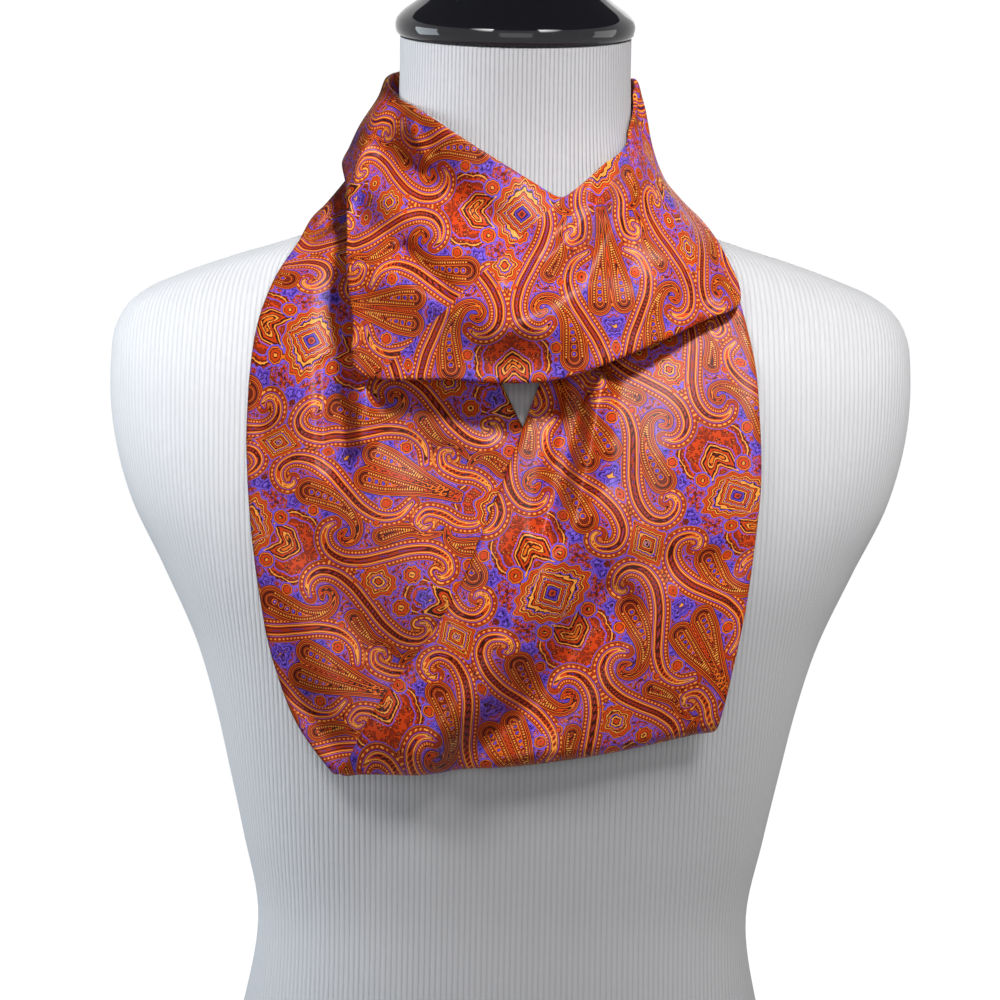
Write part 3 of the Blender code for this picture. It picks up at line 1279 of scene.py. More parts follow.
@dataclass(frozen=True)
class GlossFinish:
    """Gloss black plastic with faint waves in its polish and a little dust."""

    colour: Colour = (0.006, 0.006, 0.008)
    dust: Colour = (0.05, 0.05, 0.055)
    dust_scale: float = 420
    speck: float = 0.08
    least_roughness: float = 0.03
    smear: float = 0.05
    smear_scale: float = 24
    wave_scale: float = 55
    wave_strength: float = 0.08
    wave_height: float = 0.0006
    specular: float = 0.32

    def material(self) -> bpy.types.Material:
        """The cap's material.

        Returns:
            The material.
        """
        material, graph, shader = started("gloss_black")
        place = graph.add("TexCoord").outputs["Object"]
        specks = graph.below(graph.cells(place, self.dust_scale), self.speck)
        graph.feed(shader.inputs["Base Color"], graph.mixed(specks, self.colour, self.dust))
        smears = graph.uneven(place, self.smear_scale, 3, self.least_roughness, self.smear)
        graph.feed(shader.inputs["Roughness"], smears)
        waves = graph.noise(place, self.wave_scale, 1)
        graph.feed(shader.inputs["Normal"], graph.bump(waves, self.wave_strength, self.wave_height))
        shader.inputs["Specular IOR Level"].default_value = self.specular
        return material


@dataclass(frozen=True)
class PaperFinish:
    """The white paper of the sweep behind and under the form, which glows of itself as painted light, fully
    on its far side and less near the form.
    """

    colour: Colour = (0.62, 0.62, 0.62)
    stain: Colour = (0.5, 0.5, 0.5)
    stain_scale: float = 3
    most_stain: float = 0.04
    roughness: float = 0.95
    # painted light: the paper's own glow, weaker near the form, and the distances over which it grows
    glow: float = 0.97
    near_glow: float = 0.62
    near: float = 0.25
    far: float = 0.6

    def material(self) -> bpy.types.Material:
        """The paper's material, with a faint mottle and a painted glow that is weaker near the form.

        Returns:
            The material.
        """
        material, graph, shader = started("white_paper")
        place = graph.add("TexCoord").outputs["Object"]
        mottle = graph.uneven(place, self.stain_scale, 2, 0, self.most_stain)
        graph.feed(shader.inputs["Base Color"], graph.mixed(mottle, self.colour, self.stain))
        shader.inputs["Roughness"].default_value = self.roughness
        # painted light: the paper glows of itself, less near the form and fully farther off
        out = graph.add("VectorMath", operation="LENGTH")
        graph.feed(out.inputs[0], place)
        share = graph.add("MapRange")
        graph.feed(share.inputs["Value"], out.outputs["Value"])
        share.inputs["From Min"].default_value = self.near
        share.inputs["From Max"].default_value = self.far
        share.inputs["To Min"].default_value = self.near_glow
        share.inputs["To Max"].default_value = self.glow
        shader.inputs["Emission Color"].default_value = (1, 1, 1, 1)
        graph.feed(shader.inputs["Emission Strength"], share.outputs["Result"])
        return material


@dataclass
class DressForm:
    """The limbless torso and neck in jersey, and the turned cap on the neck."""

    segments: int = 176
    levels: int = 120
    neck_tilt: float = radians(9)
    tilt_from: float = 545
    neck_top: float = 604
    cap_steps: int = 120
    cap_gap: float = 0.4
    column_radius: float = 100
    drawn_step: float = 5
    weld: float = 0.01
    curve_steps: int = 400
    probe: float = 0.5
    probe_rounds: int = 4
    crease: float = radians(40)
    torso_pitch: float = 2.75
    neck_pitch: float = 2.25
    neck_reach: float = 84
    neck_from: float = 503
    rings: tuple = (
        Ring(0, 156, 104, 112, 2.2),
        Ring(45, 151, 103, 114, 2.2),
        Ring(85, 140, 99, 109, 2.2),
        Ring(125, 128, 91, 99, 2.2),
        Ring(168, 122.5, 84, 86, 2.2),
        Ring(205, 130, 88, 87, 2.25),
        Ring(241, 138, 95, 90, 2.3),
        Ring(271, 145, 102, 94, 2.35),
        Ring(301, 154, 108, 98, 2.4),
        Ring(340, 171.5, 112, 102, 2.5),
        Ring(375, 188.5, 108, 105, 2.55),
        Ring(414, 198, 99, 105, 2.5),
        Ring(440, 199, 91, 102, 2.4),
        Ring(458, 197, 82, 98, 2.2),
        Ring(469, 191, 77, 95, 2.1),
        Ring(477, 181, 73, 92, 2),
        Ring(485, 163, 68, 87, 2),
        Ring(494, 138, 65, 82, 2),
        Ring(502, 112, 62, 77, 2),
        Ring(511, 89, 59, 72, 2),
        Ring(525, 72, 57, 66, 2),
        Ring(542, 62.5, 56, 61.5, 2),
        Ring(560, 58.5, 56, 58.5, 2),
        Ring(580, 57.5, 57.5, 57, 2),
        Ring(604, 57.5, 59, 55.5, 2),
    )
    # (radius, height above the neck) down the outer side
    cap_profile: tuple = (
        (0, 45),
        (7, 44.8),
        (14, 44),
        (20.5, 42.9),
        (26, 41),
        (31, 38.9),
        (35, 36),
        (37.9, 33.2),
        (40, 30),
        (41.2, 27.2),
        (42.5, 24.5),
        (44.1, 21.8),
        (46.5, 19.5),
        (49.1, 17.5),
        (52, 15.5),
        (54.9, 13.4),
        (57.5, 11),
        (59.2, 8.9),
        (60, 6.5),
        (60, 4.1),
        (59.5, 2),
        (58.5, 0.8),
        (57, 0),
        (0, 0),
    )
    curve: np.ndarray = field(init=False)

    def __post_init__(self) -> None:
        """Draws the smooth run of sizes up the form."""
        self.curve = curve_through(self.rings, np.linspace(0, 1, self.curve_steps))

    def sizes(self, height: np.ndarray) -> list[np.ndarray]:
        """Half-width, front, back and squareness of the form at each height."""
        return [np.interp(height, self.curve[:, 0], self.curve[:, k]) for k in (1, 2, 3, 4)]

    def lift(self, y: np.ndarray, height: np.ndarray) -> np.ndarray:
        """How much the forward tilt of the neck raises a point.

        Args:
            y: The place away from the viewer.
            height: The place up, before the tilt.

        Returns:
            The heights, less than nothing in front.
        """
        share = np.clip((height - self.tilt_from) / (self.neck_top - self.tilt_from), 0, 1)
        return y * tan(self.neck_tilt) * share * share * (3 - 2 * share)

    def front(self, x: float, height: float) -> float:
        """How far in front of the middle plane the surface lies.

        Args:
            x: The place across.
            height: The place up.

        Returns:
            The depth, or 0 beside the form.
        """
        half_width, front, _, squareness = self.sizes(height)
        inside = max(0, 1 - abs(x / half_width) ** squareness)
        return front * inside ** (1 / squareness)

    def reach(self, points: np.ndarray) -> np.ndarray:
        """How many times further out than the form's surface each point lies.

        Args:
            points: The points.

        Returns:
            The ratios, 1 on the surface.
        """
        x, y, z = points.T
        half_width, front, back, squareness = self.sizes(z - self.lift(y, z))
        depth = np.where(y < 0, front, back)
        total = np.abs(x / half_width) ** squareness + np.abs(y / depth) ** squareness
        return total ** (1 / squareness)

    def rested(self, points: np.ndarray, least: float) -> np.ndarray:
        """Moves points that are too near to the form straight off it.

        Args:
            points: The points.
            least: The least distance off the form.

        Returns:
            The points, none of them nearer than that.
        """
        step = self.probe
        for _ in range(self.probe_rounds):
            reach = self.reach(points)
            slope = np.stack(
                [
                    (self.reach(points + step * way) - self.reach(points - step * way)) / (2 * step)
                    for way in np.eye(3)
                ],
                axis=1,
            )
            steepness = np.linalg.norm(slope, axis=1)
            lacking = np.maximum(least - (reach - 1) / steepness, 0)
            points = points + slope * (lacking / steepness)[:, None]
        return points

    def build_body(self) -> bpy.types.Mesh:
        """Draws a disc up into a column, and gives each of its levels the form's own section.

        Returns:
            The body's mesh.
        """
        deselected()
        radius, step = self.column_radius * MM, self.drawn_step * MM
        bpy.ops.mesh.primitive_circle_add(vertices=self.segments, radius=radius, fill_type="NGON")
        column = bpy.context.active_object
        bpy.ops.object.mode_set(mode="EDIT")
        bpy.ops.mesh.select_all(action="SELECT")
        for _ in range(self.levels - 1):
            bpy.ops.mesh.extrude_region_move(TRANSFORM_OT_translate={"value": (0, 0, step)})
        bpy.ops.object.mode_set(mode="OBJECT")
        mesh = column.data
        bearings = -np.linspace(0, 2 * pi, self.segments, endpoint=False)
        across, away = np.sin(bearings), -np.cos(bearings)
        heights = curve_through(self.rings, np.linspace(0, 1, self.levels))
        places = np.zeros((len(mesh.vertices), 3))
        level = np.rint(np.array([v.co.z for v in mesh.vertices]) / step).astype(int)
        order = np.array([v.co.xy.angle_signed(Vector((0, 1)), 0) for v in mesh.vertices])
        turn = np.rint(order / (2 * pi) * self.segments).astype(int) % self.segments
        height, half_width, front, back, squareness = heights[level].T
        a, b = across[turn], away[turn]
        places[:, 0] = half_width * np.sign(a) * np.abs(a) ** (2 / squareness)
        places[:, 1] = np.where(b > 0, back, front) * np.sign(b) * np.abs(b) ** (2 / squareness)
        places[:, 2] = height + self.lift(places[:, 1], height)
        mesh.vertices.foreach_set("co", (places * MM).ravel())
        bpy.ops.object.mode_set(mode="EDIT")
        bpy.ops.mesh.select_all(action="SELECT")
        bpy.ops.mesh.normals_make_consistent(inside=False)
        bpy.ops.object.mode_set(mode="OBJECT")
        self.count_ribs(mesh, places, level)
        bpy.data.objects.remove(column)
        return mesh

    def count_ribs(self, mesh: bpy.types.Mesh, places: np.ndarray, level: np.ndarray) -> None:
        """Counts the jersey's ribs outward from the middle of the front and of the back.

        Args:
            mesh: The form's mesh, which gets the attribute ribs.
            places: Its vertices, in millimetres.
            level: Each vertex's level.
        """
        ribs = np.zeros((len(places), 3))
        for each in range(self.levels):
            ring = np.flatnonzero(level == each)
            for side in (places[ring, 1] < 0, places[ring, 1] >= 0):
                half = ring[side]
                half = half[np.argsort(places[half, 0])]
                steps = np.linalg.norm(np.diff(places[half], axis=0), axis=1)
                along = np.append(0, np.cumsum(steps))
                middle = np.interp(0, places[half, 0], along)
                ribs[half, 0] = (along - middle) / self.torso_pitch
                ribs[half, 1] = (along - middle) / self.neck_pitch
        radius = np.hypot(places[:, 0], places[:, 1])
        ribs[:, 2] = (radius < self.neck_reach) & (places[:, 2] > self.neck_from)
        made = mesh.attributes.new("ribs", "FLOAT_VECTOR", "POINT")
        made.data.foreach_set("vector", ribs.ravel())

    def build_cap(self) -> bpy.types.Mesh:
        """Spins the cap's profile and stands it on the tilted neck.

        Returns:
            The cap's mesh.
        """
        deselected()
        bpy.ops.mesh.primitive_plane_add(size=MM)
        cap = bpy.context.active_object
        bpy.ops.object.mode_set(mode="EDIT")
        bpy.ops.mesh.select_all(action="SELECT")
        bpy.ops.mesh.merge(type="CENTER")
        bpy.ops.transform.translate(value=(self.cap_profile[0][0] * MM, 0, self.cap_profile[0][1] * MM))
        for (radius, height), (next_radius, next_height) in zip(self.cap_profile, self.cap_profile[1:]):
            step = ((next_radius - radius) * MM, 0, (next_height - height) * MM)
            bpy.ops.mesh.extrude_region_move(TRANSFORM_OT_translate={"value": step})
        bpy.ops.mesh.select_all(action="SELECT")
        bpy.ops.mesh.spin(steps=self.cap_steps, angle=2 * pi, center=(0, 0, 0), axis=(0, 0, 1))
        bpy.ops.mesh.select_all(action="SELECT")
        bpy.ops.mesh.remove_doubles(threshold=self.weld * MM)
        bpy.ops.mesh.normals_make_consistent(inside=False)
        bpy.ops.object.mode_set(mode="OBJECT")
        cap.rotation_euler.x = self.neck_tilt
        cap.location.z = (self.neck_top + self.cap_gap) * MM
        bpy.ops.object.transform_apply(location=True, rotation=True, scale=False)
        mesh = cap.data
        bpy.data.objects.remove(cap)
        return mesh

    def dress(self, jersey: JerseyFinish, gloss: GlossFinish) -> list[bpy.types.Object]:
        """Makes the body and the cap and dresses them.

        Args:
            jersey: The body's finish.
            gloss: The cap's finish.

        Returns:
            The two pieces.
        """
        body = finished("jersey_form", self.build_body(), jersey.material())
        cap = finished("turned_cap", self.build_cap(), gloss.material())
        for piece, node, slot in ((body, "form_body", "form_jersey"), (cap, "neck_cap", "cap_gloss")):
            piece.data.set_sharp_from_angle(angle=self.crease)
            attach(piece, "root")
            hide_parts(node)
            log.info("%s: %d faces", piece.name, len(piece.data.polygons))
        return [body, cap]


@dataclass
class Stretch:
    """One stretch of the flat tube, between two of the loop's sections.

    Its flat size is in metres, all round the tube and along it. Its hem is the row that rolls under.
    """

    name: str
    node: str
    first: int
    last: int
    flat: tuple[float, float]
    held: Held
    folds: Sequence[Fold] = ()
    spot: Optional[PrintSpot] = None
    mitre: Optional[Mitre] = None
    hem: Optional[int] = None
    points: np.ndarray = field(init=False)
    smooth: np.ndarray = field(init=False)
    laid: np.ndarray = field(init=False)
    beyond: Optional[np.ndarray] = field(init=False, default=None)


@dataclass
class Scarf:
    """The endless flat tube, as five stretches laid over the form."""

    form: DressForm
    cell: float = 1.2
    back_cell: float = 1.4
    edge_steps: tuple = (0, 0.18, 0.5, 1.0, 1.7)
    thickness: float = 1.6
    edge_radius: float = 1.7
    edge_roll: float = 0.7
    roll_reach: float = 4.5
    stand_off: float = 2.7
    roll_place: float = 3.0
    hem_roll: float = 12.0
    hem_depth: float = 0.75
    least_hem: float = 0.4
    hem_clears_at: float = -55
    hem_clears_over: float = 30
    gathers: int = 3
    gather_height: float = 2.6
    ripples: float = 7.3
    ripple_height: float = 0.45
    ripple_sway: float = 0.6
    ripple_turns: float = 5
    spot_reach: int = 4
    right_drop: tuple = (
        Section((60.5, 565, -8), (63.5, 546, -8), (70, 530, -8), (83, 516, -6)),
        Section((58, 548, 7), (65, 531, 12), (78, 516, 8), (94, 503, 5)),
        Section((51, 523, 9), (66, 508, 10), (86, 497, 6), (107, 484, 5)),
        Section((42, 493, 8), (61, 483, 8), (85, 475, 6), (114, 460, 5)),
        Section((13, 433, 6), (38, 430, 8), (76, 427, 9), (119, 421, 8)),
        Section((5, 411, 9), (33, 407, 9), (71, 403, 9), (120, 394, 8)),
        Section((-9, 373, 11), (24, 367, 11), (68, 360, 11), (117.5, 361, 8)),
        Section((-27, 331, 13), (15, 327, 14), (65, 322, 14), (113, 326, 14)),
        Section((-45, 303, 16), (4, 294, 18), (60, 291, 17), (107, 296, 21)),
        Section((-62, 280, 21), (-6, 271, 22), (53, 273, 18), (104, 282, 23)),
        Section((-78, 247, 24), (-17, 250.5, 23), (43, 258, 18), (101, 270, 22)),
    )
    back_high: tuple = (
        BackSection(125, 575, 516, 2.8, 2.8),
        BackSection(152, 585, 526, 3, 3),
        BackSection(168, 589, 536, 3, 3.5),
        BackSection(180, 590, 537.5, 4, 5),
        BackSection(192, 591, 536, 5, 6.5),
        BackSection(208, 591, 531, 6.5, 8),
        BackSection(235, 589, 532, 7, 9),
    )
    neck_wrap: tuple = (
        Section((-64, 584, -10), (-67, 575, -10), (-76, 560, -9), (-84, 541, -6)),
        Section((-57, 573, 4), (-65, 565, 22), (-75, 546, 32), (-82, 526, 36)),
        Section((-44, 564, 8), (-55, 548, 19), (-72, 523, 36), (-80, 504, 27)),
        Section((-26, 552, 11), (-41, 531, 17), (-65, 504, 30), (-79, 484, 26)),
        Section((-7, 540.5, 10), (-24, 517, 18), (-51, 487, 31), (-75.5, 462, 26)),
        Section((10, 530.5, 8), (-5, 503, 23), (-33, 469, 33), (-72, 438, 19)),
        Section((22, 524, 7), (12, 498, 25), (-7, 464, 34), (-29, 436, 27)),
        Section((30, 528, 7), (28, 498, 26), (25, 465, 34), (18, 436, 27)),
        Section((41, 538, 7), (45, 508, 27), (52, 475, 33), (61, 451, 25)),
        Section((52, 548, 8), (61, 520, 27), (76, 492, 28), (91, 465, 19)),
        Section((57, 561, 6), (65.5, 538, 31), (87, 506, 24), (110, 475, 12)),
        Section((59, 573, 2), (66, 551, 11.5), (77.5, 529, 17.5), (103, 498, 11)),
        Section((60, 585, -10), (64, 573, -8), (67.3, 546, -6), (89.5, 517, -8)),
    )
    back_low: tuple = (
        BackSection(125, 580, 504, 6.5, 9),
        BackSection(152, 556, 484, 8, 8),
        BackSection(168, 538, 473, 7, 6),
        BackSection(180, 536, 470, 5, 5),
        BackSection(192, 535.5, 470.5, 3.5, 4),
        BackSection(208, 541, 476, 2.8, 2.8),
        BackSection(235, 553, 496, 2.8, 2.8),
    )
    left_drop: tuple = (
        Section((-62, 565, -8), (-72, 548, -8), (-84, 531, -8), (-98, 513, -4)),
        Section((-55, 546, 8), (-68, 531, 30), (-86, 514, 26), (-106, 498, 8)),
        Section((-44, 521, 8), (-62, 509, 10), (-88, 494, 6), (-115, 483, 6)),
        Section((-30, 492, 6), (-54, 482, 7), (-87, 471, 8), (-122, 463, 5)),
        Section((-4, 434, 4), (-43, 431, 7), (-84, 427, 9), (-126, 414, 4)),
        Section((11, 398, 3.5), (-33, 393, 6), (-78, 387, 9), (-124.5, 380, 5)),
        Section((3, 351, 3.5), (-37, 346, 8), (-78, 340, 11), (-119, 337, 11)),
        Section((-14, 308, 4), (-47, 304, 9), (-79, 301, 15), (-111, 300, 20)),
        Section((-31, 275, 5), (-55, 273, 11), (-77, 271, 17), (-99, 270, 22)),
        Section((-50, 250, 10), (-62, 248.5, 14), (-73, 247.5, 18), (-82.5, 247, 20)),
    )
    wrap_folds: tuple = (
        Fold((-63, 545), (-30, 523), -9, 11),
        Fold((-30, 523), (4, 502), -8, 10),
        Fold((-68, 526), (-6, 487), 7, 8),
        Fold((-74, 511), (-53, 496), -4, 6),
        Fold((-53, 496), (-33, 480), -10, 5.5),
        Fold((-74, 490), (18, 460), 8, 13),
        Fold((53, 551), (41, 517), -9, 5.5),
        Fold((41, 517), (17, 491), -7, 6),
        Fold((60, 540), (31, 482), 7, 9),
        Fold((31, 482), (-8, 458), 7, 11),
        Fold((72, 524), (96, 484), 3, 8),
        Fold((58, 490), (92, 476), -3, 7),
        Fold((-50, 556), (-44, 541), 3, 4),
    )
    left_folds: tuple = (
        Fold((-108, 500), (-110, 425), 2, 13),
        Fold((-85, 505), (-84, 440), -5, 9),
        Fold((-84, 440), (-82, 398), -10, 8),
        Fold((-71, 448), (-70, 408), 7, 6.5),
        Fold((-60, 384), (-36, 332), 3, 14),
        Fold((-108, 352), (-88, 296), 2, 13),
        Fold((-92, 350), (-60, 300), -4, 15),
        Fold((-118, 430), (-120, 405), -2, 7),
        Fold((-40, 420), (-12, 405), 3, 9),
        Fold((-66, 408), (-30, 396), -2, 8),
        Fold((-100, 285), (-82, 262), -3, 8),
    )
    right_folds: tuple = (
        Fold((33, 434), (28, 408), -11, 6),
        Fold((28, 408), (18, 366), -11, 6),
        Fold((42, 436), (37, 404), 10, 6),
        Fold((37, 404), (30, 371), 10, 7),
        Fold((30, 371), (-3, 314), 11, 13),
        Fold((-3, 314), (-40, 262), 12, 15),
        Fold((49, 332), (12, 282), -12, 12),
        Fold((12, 282), (-20, 255), -12, 11),
        Fold((48, 350), (104, 351), -3, 10),
        Fold((72, 400), (88, 300), 3, 16),
    )

    def front_points(self, section: Section) -> list[tuple[float, float, float]]:
        """The four points of a section of the front view, in space."""
        return [(x, -self.form.front(x, z) - out, z) for x, z, out in section]

    def back_points(self, section: BackSection) -> list[tuple[float, float, float]]:
        """Four even points down a section behind the neck, in space.

        Args:
            section: The section.

        Returns:
            The points.
        """
        points = []
        across, away = sin(radians(section.bearing)), -cos(radians(section.bearing))
        for share in (0, 1 / 3, 2 / 3, 1):
            height = section.top + share * (section.foot - section.top)
            out = section.top_out + share * (section.foot_out - section.top_out)
            half_width, front, back, squareness = self.form.sizes(height)
            depth = back if away > 0 else front
            total = abs(across / half_width) ** squareness + abs(away / depth) ** squareness
            radius = total ** (-1 / squareness) + out
            points.append((radius * across, radius * away, height))
        return points

    def folds_at(self, points: np.ndarray, folds: Sequence[Fold]) -> np.ndarray:
        """How far the folds raise the cloth at each point.

        Args:
            points: The cloth's points.
            folds: The folds, where one that starts at the last one's end is its next part.

        Returns:
            The heights off the smooth cloth.
        """
        places = points[:, [0, 2]]
        total, chain = np.zeros(len(points)), np.zeros(len(points))
        reached = None
        for fold in folds:
            start = np.array(fold.start)
            run = np.array(fold.end) - start
            share = np.clip((places - start) @ run / (run @ run), 0, 1)
            distance = np.linalg.norm(places - start - share[:, None] * run, axis=1)
            raised = fold.height * np.exp(-((distance / fold.width) ** 2))
            if fold.start != reached:
                total += chain
                chain = raised
            chain = np.where(np.abs(raised) > np.abs(chain), raised, chain)
            reached = fold.end
        return total + chain

    def rolled_under(self, up: np.ndarray, x: np.ndarray) -> np.ndarray:
        """How far the lowest rows of a drop turn back towards the form.

        Args:
            up: How far each row is from the lowest one.
            x: Each point's place across the form.

        Returns:
            The distances, less over the drop below.
        """
        lacking = np.clip(self.hem_roll - up, 0, None)
        inward = self.hem_roll - np.sqrt(self.hem_roll**2 - lacking**2)
        clear = np.clip((x - self.hem_clears_at) / self.hem_clears_over, self.least_hem, 1)
        return self.hem_depth * inward[:, None] * clear

    def grid(self, stretch: Stretch, sections: list) -> np.ndarray:
        """The outer face of a stretch as a fine grid of points, along and then across.

        Args:
            stretch: The stretch, which also keeps the grid without its folds.
            sections: All sections of the loop, in space.

        Returns:
            An array of rows, columns and places in millimetres.
        """
        is_gathered = stretch.held is Held.GATHERED
        cell = self.back_cell if is_gathered else self.cell
        knots = knots_of(sections)
        start, end = knots[stretch.first], knots[stretch.last]
        rows = round((end - start) / cell) + 1
        places = np.linspace(start, end, rows)
        lines = curve_through(sections, places / knots[-1])
        width = np.linalg.norm(np.diff(lines, axis=1), axis=2).sum(1).mean()
        edge = np.array(self.edge_steps) / width
        inner = round((width - 2 * self.edge_steps[-1]) / cell)
        middle = np.linspace(edge[-1], 1 - edge[-1], inner + 1)
        across = np.concatenate([edge[:-1], middle, 1 - edge[-2::-1]])
        points = np.stack([curve_through(line, across) for line in lines])
        if is_gathered:
            points = self.gathered(points, (places - start) / (end - start), across)
        stretch.smooth = points.copy()
        flat = points.reshape(-1, 3)
        flat[:, 1] -= self.folds_at(flat, stretch.folds) * (flat[:, 1] < 0)
        if stretch.hem is not None:
            points[..., 1] += self.rolled_under(np.abs(places - places[stretch.hem]), points[..., 0])
        return self.form.rested(flat, self.stand_off).reshape(points.shape)

    def gathered(self, points: np.ndarray, along: np.ndarray, across: np.ndarray) -> np.ndarray:
        """Raises soft gathers with finer ripples on a stretch behind the neck.

        Args:
            points: The stretch's smooth grid.
            along: How far along the stretch each row lies, from 0 to 1.
            across: How far across it each column lies, from 0 to 1.

        Returns:
            The grid with its gathers.
        """
        wave = 0.5 - 0.5 * np.cos(2 * pi * self.gathers * across)
        sway = self.ripple_sway * np.sin(self.ripple_turns * along)[:, None]
        ripple = np.sin(2 * pi * (self.ripples * across[None] + sway))
        raised = self.gather_height * wave[None] + self.ripple_height * ripple
        raised = raised * np.sin(pi * along)[:, None]
        points[..., :2] += unit(points[..., :2]) * raised[..., None]
        return points

    def laid_flat(self, points: np.ndarray) -> np.ndarray:
        """Lays a stretch out flat, true to length along its middle and across it.

        Args:
            points: The stretch's grid.

        Returns:
            The flat place of each point.
        """
        middle = points.shape[1] // 2
        outward = outward_of(points)[:, middle]
        steps = np.diff(points[:, middle], axis=0)
        ways = unit(steps)
        turns = turn_about(ways[:-1], ways[1:], outward[1:-1])
        headings = np.append(0, np.cumsum(turns))
        forward = np.stack([np.cos(headings), np.sin(headings)], axis=1)
        line = np.zeros((len(points), 2))
        line[1:] = np.cumsum(forward * np.linalg.norm(steps, axis=1)[:, None], axis=0)
        ways, headings = np.append(ways, ways[-1:], axis=0), np.append(headings, headings[-1])
        across = unit(points[:, middle + 1] - points[:, middle - 1])
        angles = headings + turn_about(ways, across, outward)
        spans = np.linalg.norm(np.diff(points, axis=1), axis=2)
        reach = np.concatenate([np.zeros((len(points), 1)), np.cumsum(spans, axis=1)], axis=1)
        reach -= reach[:, middle : middle + 1]
        sideways = np.stack([np.cos(angles), np.sin(angles)], axis=1)
        return line[:, None] + reach[..., None] * sideways[:, None]

    def rolled_out(self, points: np.ndarray) -> np.ndarray:
        """Rolls a stretch that goes round the neck out flat, about the upright axis.

        Args:
            points: The stretch's grid.

        Returns:
            The flat place of each point.
        """
        x, y, z = np.moveaxis(points, -1, 0)
        return np.stack([np.hypot(x, y) * np.arctan2(x, -y), z], axis=-1)

    def print_from(self, flat: np.ndarray, points: np.ndarray, spot: PrintSpot) -> np.ndarray:
        """Slides and turns the print until its spot is where it shows.

        Args:
            flat: The stretch, laid flat.
            points: The same stretch in space.
            spot: The place that the print has to match.

        Returns:
            The print's place at each point.
        """
        off = np.hypot(points[..., 0] - spot.x, points[..., 2] - spot.z)
        row, column = np.unravel_index(np.argmin(off), off.shape)
        reach = self.spot_reach
        row = max(reach, min(row, len(points) - reach - 1))
        column = max(reach, min(column, points.shape[1] - reach - 1))
        near = (slice(row - reach, row + reach + 1), slice(column - reach, column + reach + 1))
        seen = points[near][..., [0, 2]].reshape(-1, 2) - (spot.x, spot.z)
        laid = flat[near].reshape(-1, 2)
        fit, *_ = np.linalg.lstsq(np.column_stack([seen, np.ones(len(seen))]), laid, rcond=None)
        way = np.array([cos(radians(spot.slant)), sin(radians(spot.slant))]) @ fit[:2]
        return turned(flat - fit[2], pi / 2 - atan2(way[1], way[0])) + (spot.across, spot.up)

    def tube(self, stretch: Stretch) -> tuple[np.ndarray, np.ndarray, np.ndarray]:
        """The flat tube round a stretch's grid, with soft rolled edges and open ends.

        The seam that closes the tube runs along the middle of its under side.

        Args:
            stretch: The stretch.

        Returns:
            The vertices in millimetres, the faces, and the grid column of each place round a row.
        """
        points = stretch.points
        rows, columns = points.shape[:2]
        outward = outward_of(points)
        spans = np.linalg.norm(np.diff(points, axis=1), axis=2)
        reach = np.concatenate([np.zeros((rows, 1)), np.cumsum(spans, axis=1)], axis=1)
        edge = np.minimum(reach, reach[:, -1:] - reach)
        fill = np.sqrt(np.clip(1 - (1 - np.minimum(edge / self.edge_radius, 1)) ** 2, 0, 1))[..., None]
        ridge = self.edge_roll * np.exp(-(((edge - self.roll_place) / self.roll_reach) ** 2))
        roll = ridge[..., None] * fill
        outer = points - outward * (self.thickness / 2 * (1 - fill) - roll)
        inner = points - outward * self.thickness / 2 * (1 + fill)
        seam = columns // 2
        before, after = np.arange(seam, 0, -1), np.arange(columns - 2, seam - 1, -1)
        ring = np.concatenate([before, np.arange(columns), after])
        vertices = np.concatenate([inner[:, before], outer, inner[:, after]], axis=1).reshape(-1, 3)
        row, place = np.meshgrid(np.arange(rows - 1), np.arange(len(ring) - 1), indexing="ij")
        corner = row * len(ring) + place
        faces = np.stack([corner, corner + 1, corner + len(ring) + 1, corner + len(ring)], axis=-1)
        return vertices, faces.reshape(-1, 4), ring

    def printed_mesh(self, stretch: Stretch, repeat: PaisleyRepeat) -> bpy.types.Mesh:
        """A stretch's mesh, with the print's places and figures on its face corners.

        Args:
            stretch: The stretch.
            repeat: The print.

        Returns:
            The mesh.
        """
        vertices, faces, ring = self.tube(stretch)
        rows, columns = stretch.points.shape[:2]
        mesh = bpy.data.meshes.new(stretch.name)
        mesh.from_pydata((vertices * MM).tolist(), [], faces.tolist())
        row, place = np.divmod(faces.ravel(), len(ring))
        corner = row * columns + ring[place]
        laid = stretch.laid.reshape(-1, 2)
        prints, pick = [laid], np.zeros(len(corner), int)
        if stretch.beyond is not None:
            prints.append(stretch.beyond.reshape(-1, 2))
            pick = np.repeat(self.past_mitre(vertices[faces].mean(axis=1), stretch.mitre), 4)
        fields = [repeat.fields(each) for each in prints]
        uv = mesh.uv_layers.new(name="print")
        uv.data.foreach_set("uv", np.stack(prints)[pick, corner].ravel())
        for name in fields[0]:
            values = np.stack([each[name] for each in fields])[pick, corner]
            made = mesh.attributes.new(name, "FLOAT_VECTOR", "CORNER")
            made.data.foreach_set("vector", values.ravel())
        return mesh

    def past_mitre(self, centres: np.ndarray, mitre: Mitre) -> np.ndarray:
        """Tells the faces on the left of the crease in the front view.

        Args:
            centres: The faces' middles.
            mitre: The crease.

        Returns:
            1 for each of those faces, and 0 for the others.
        """
        run = np.array(mitre.end) - mitre.start
        off = centres[:, [0, 2]] - mitre.start
        return (run[0] * off[:, 1] - run[1] * off[:, 0] < 0).astype(int)

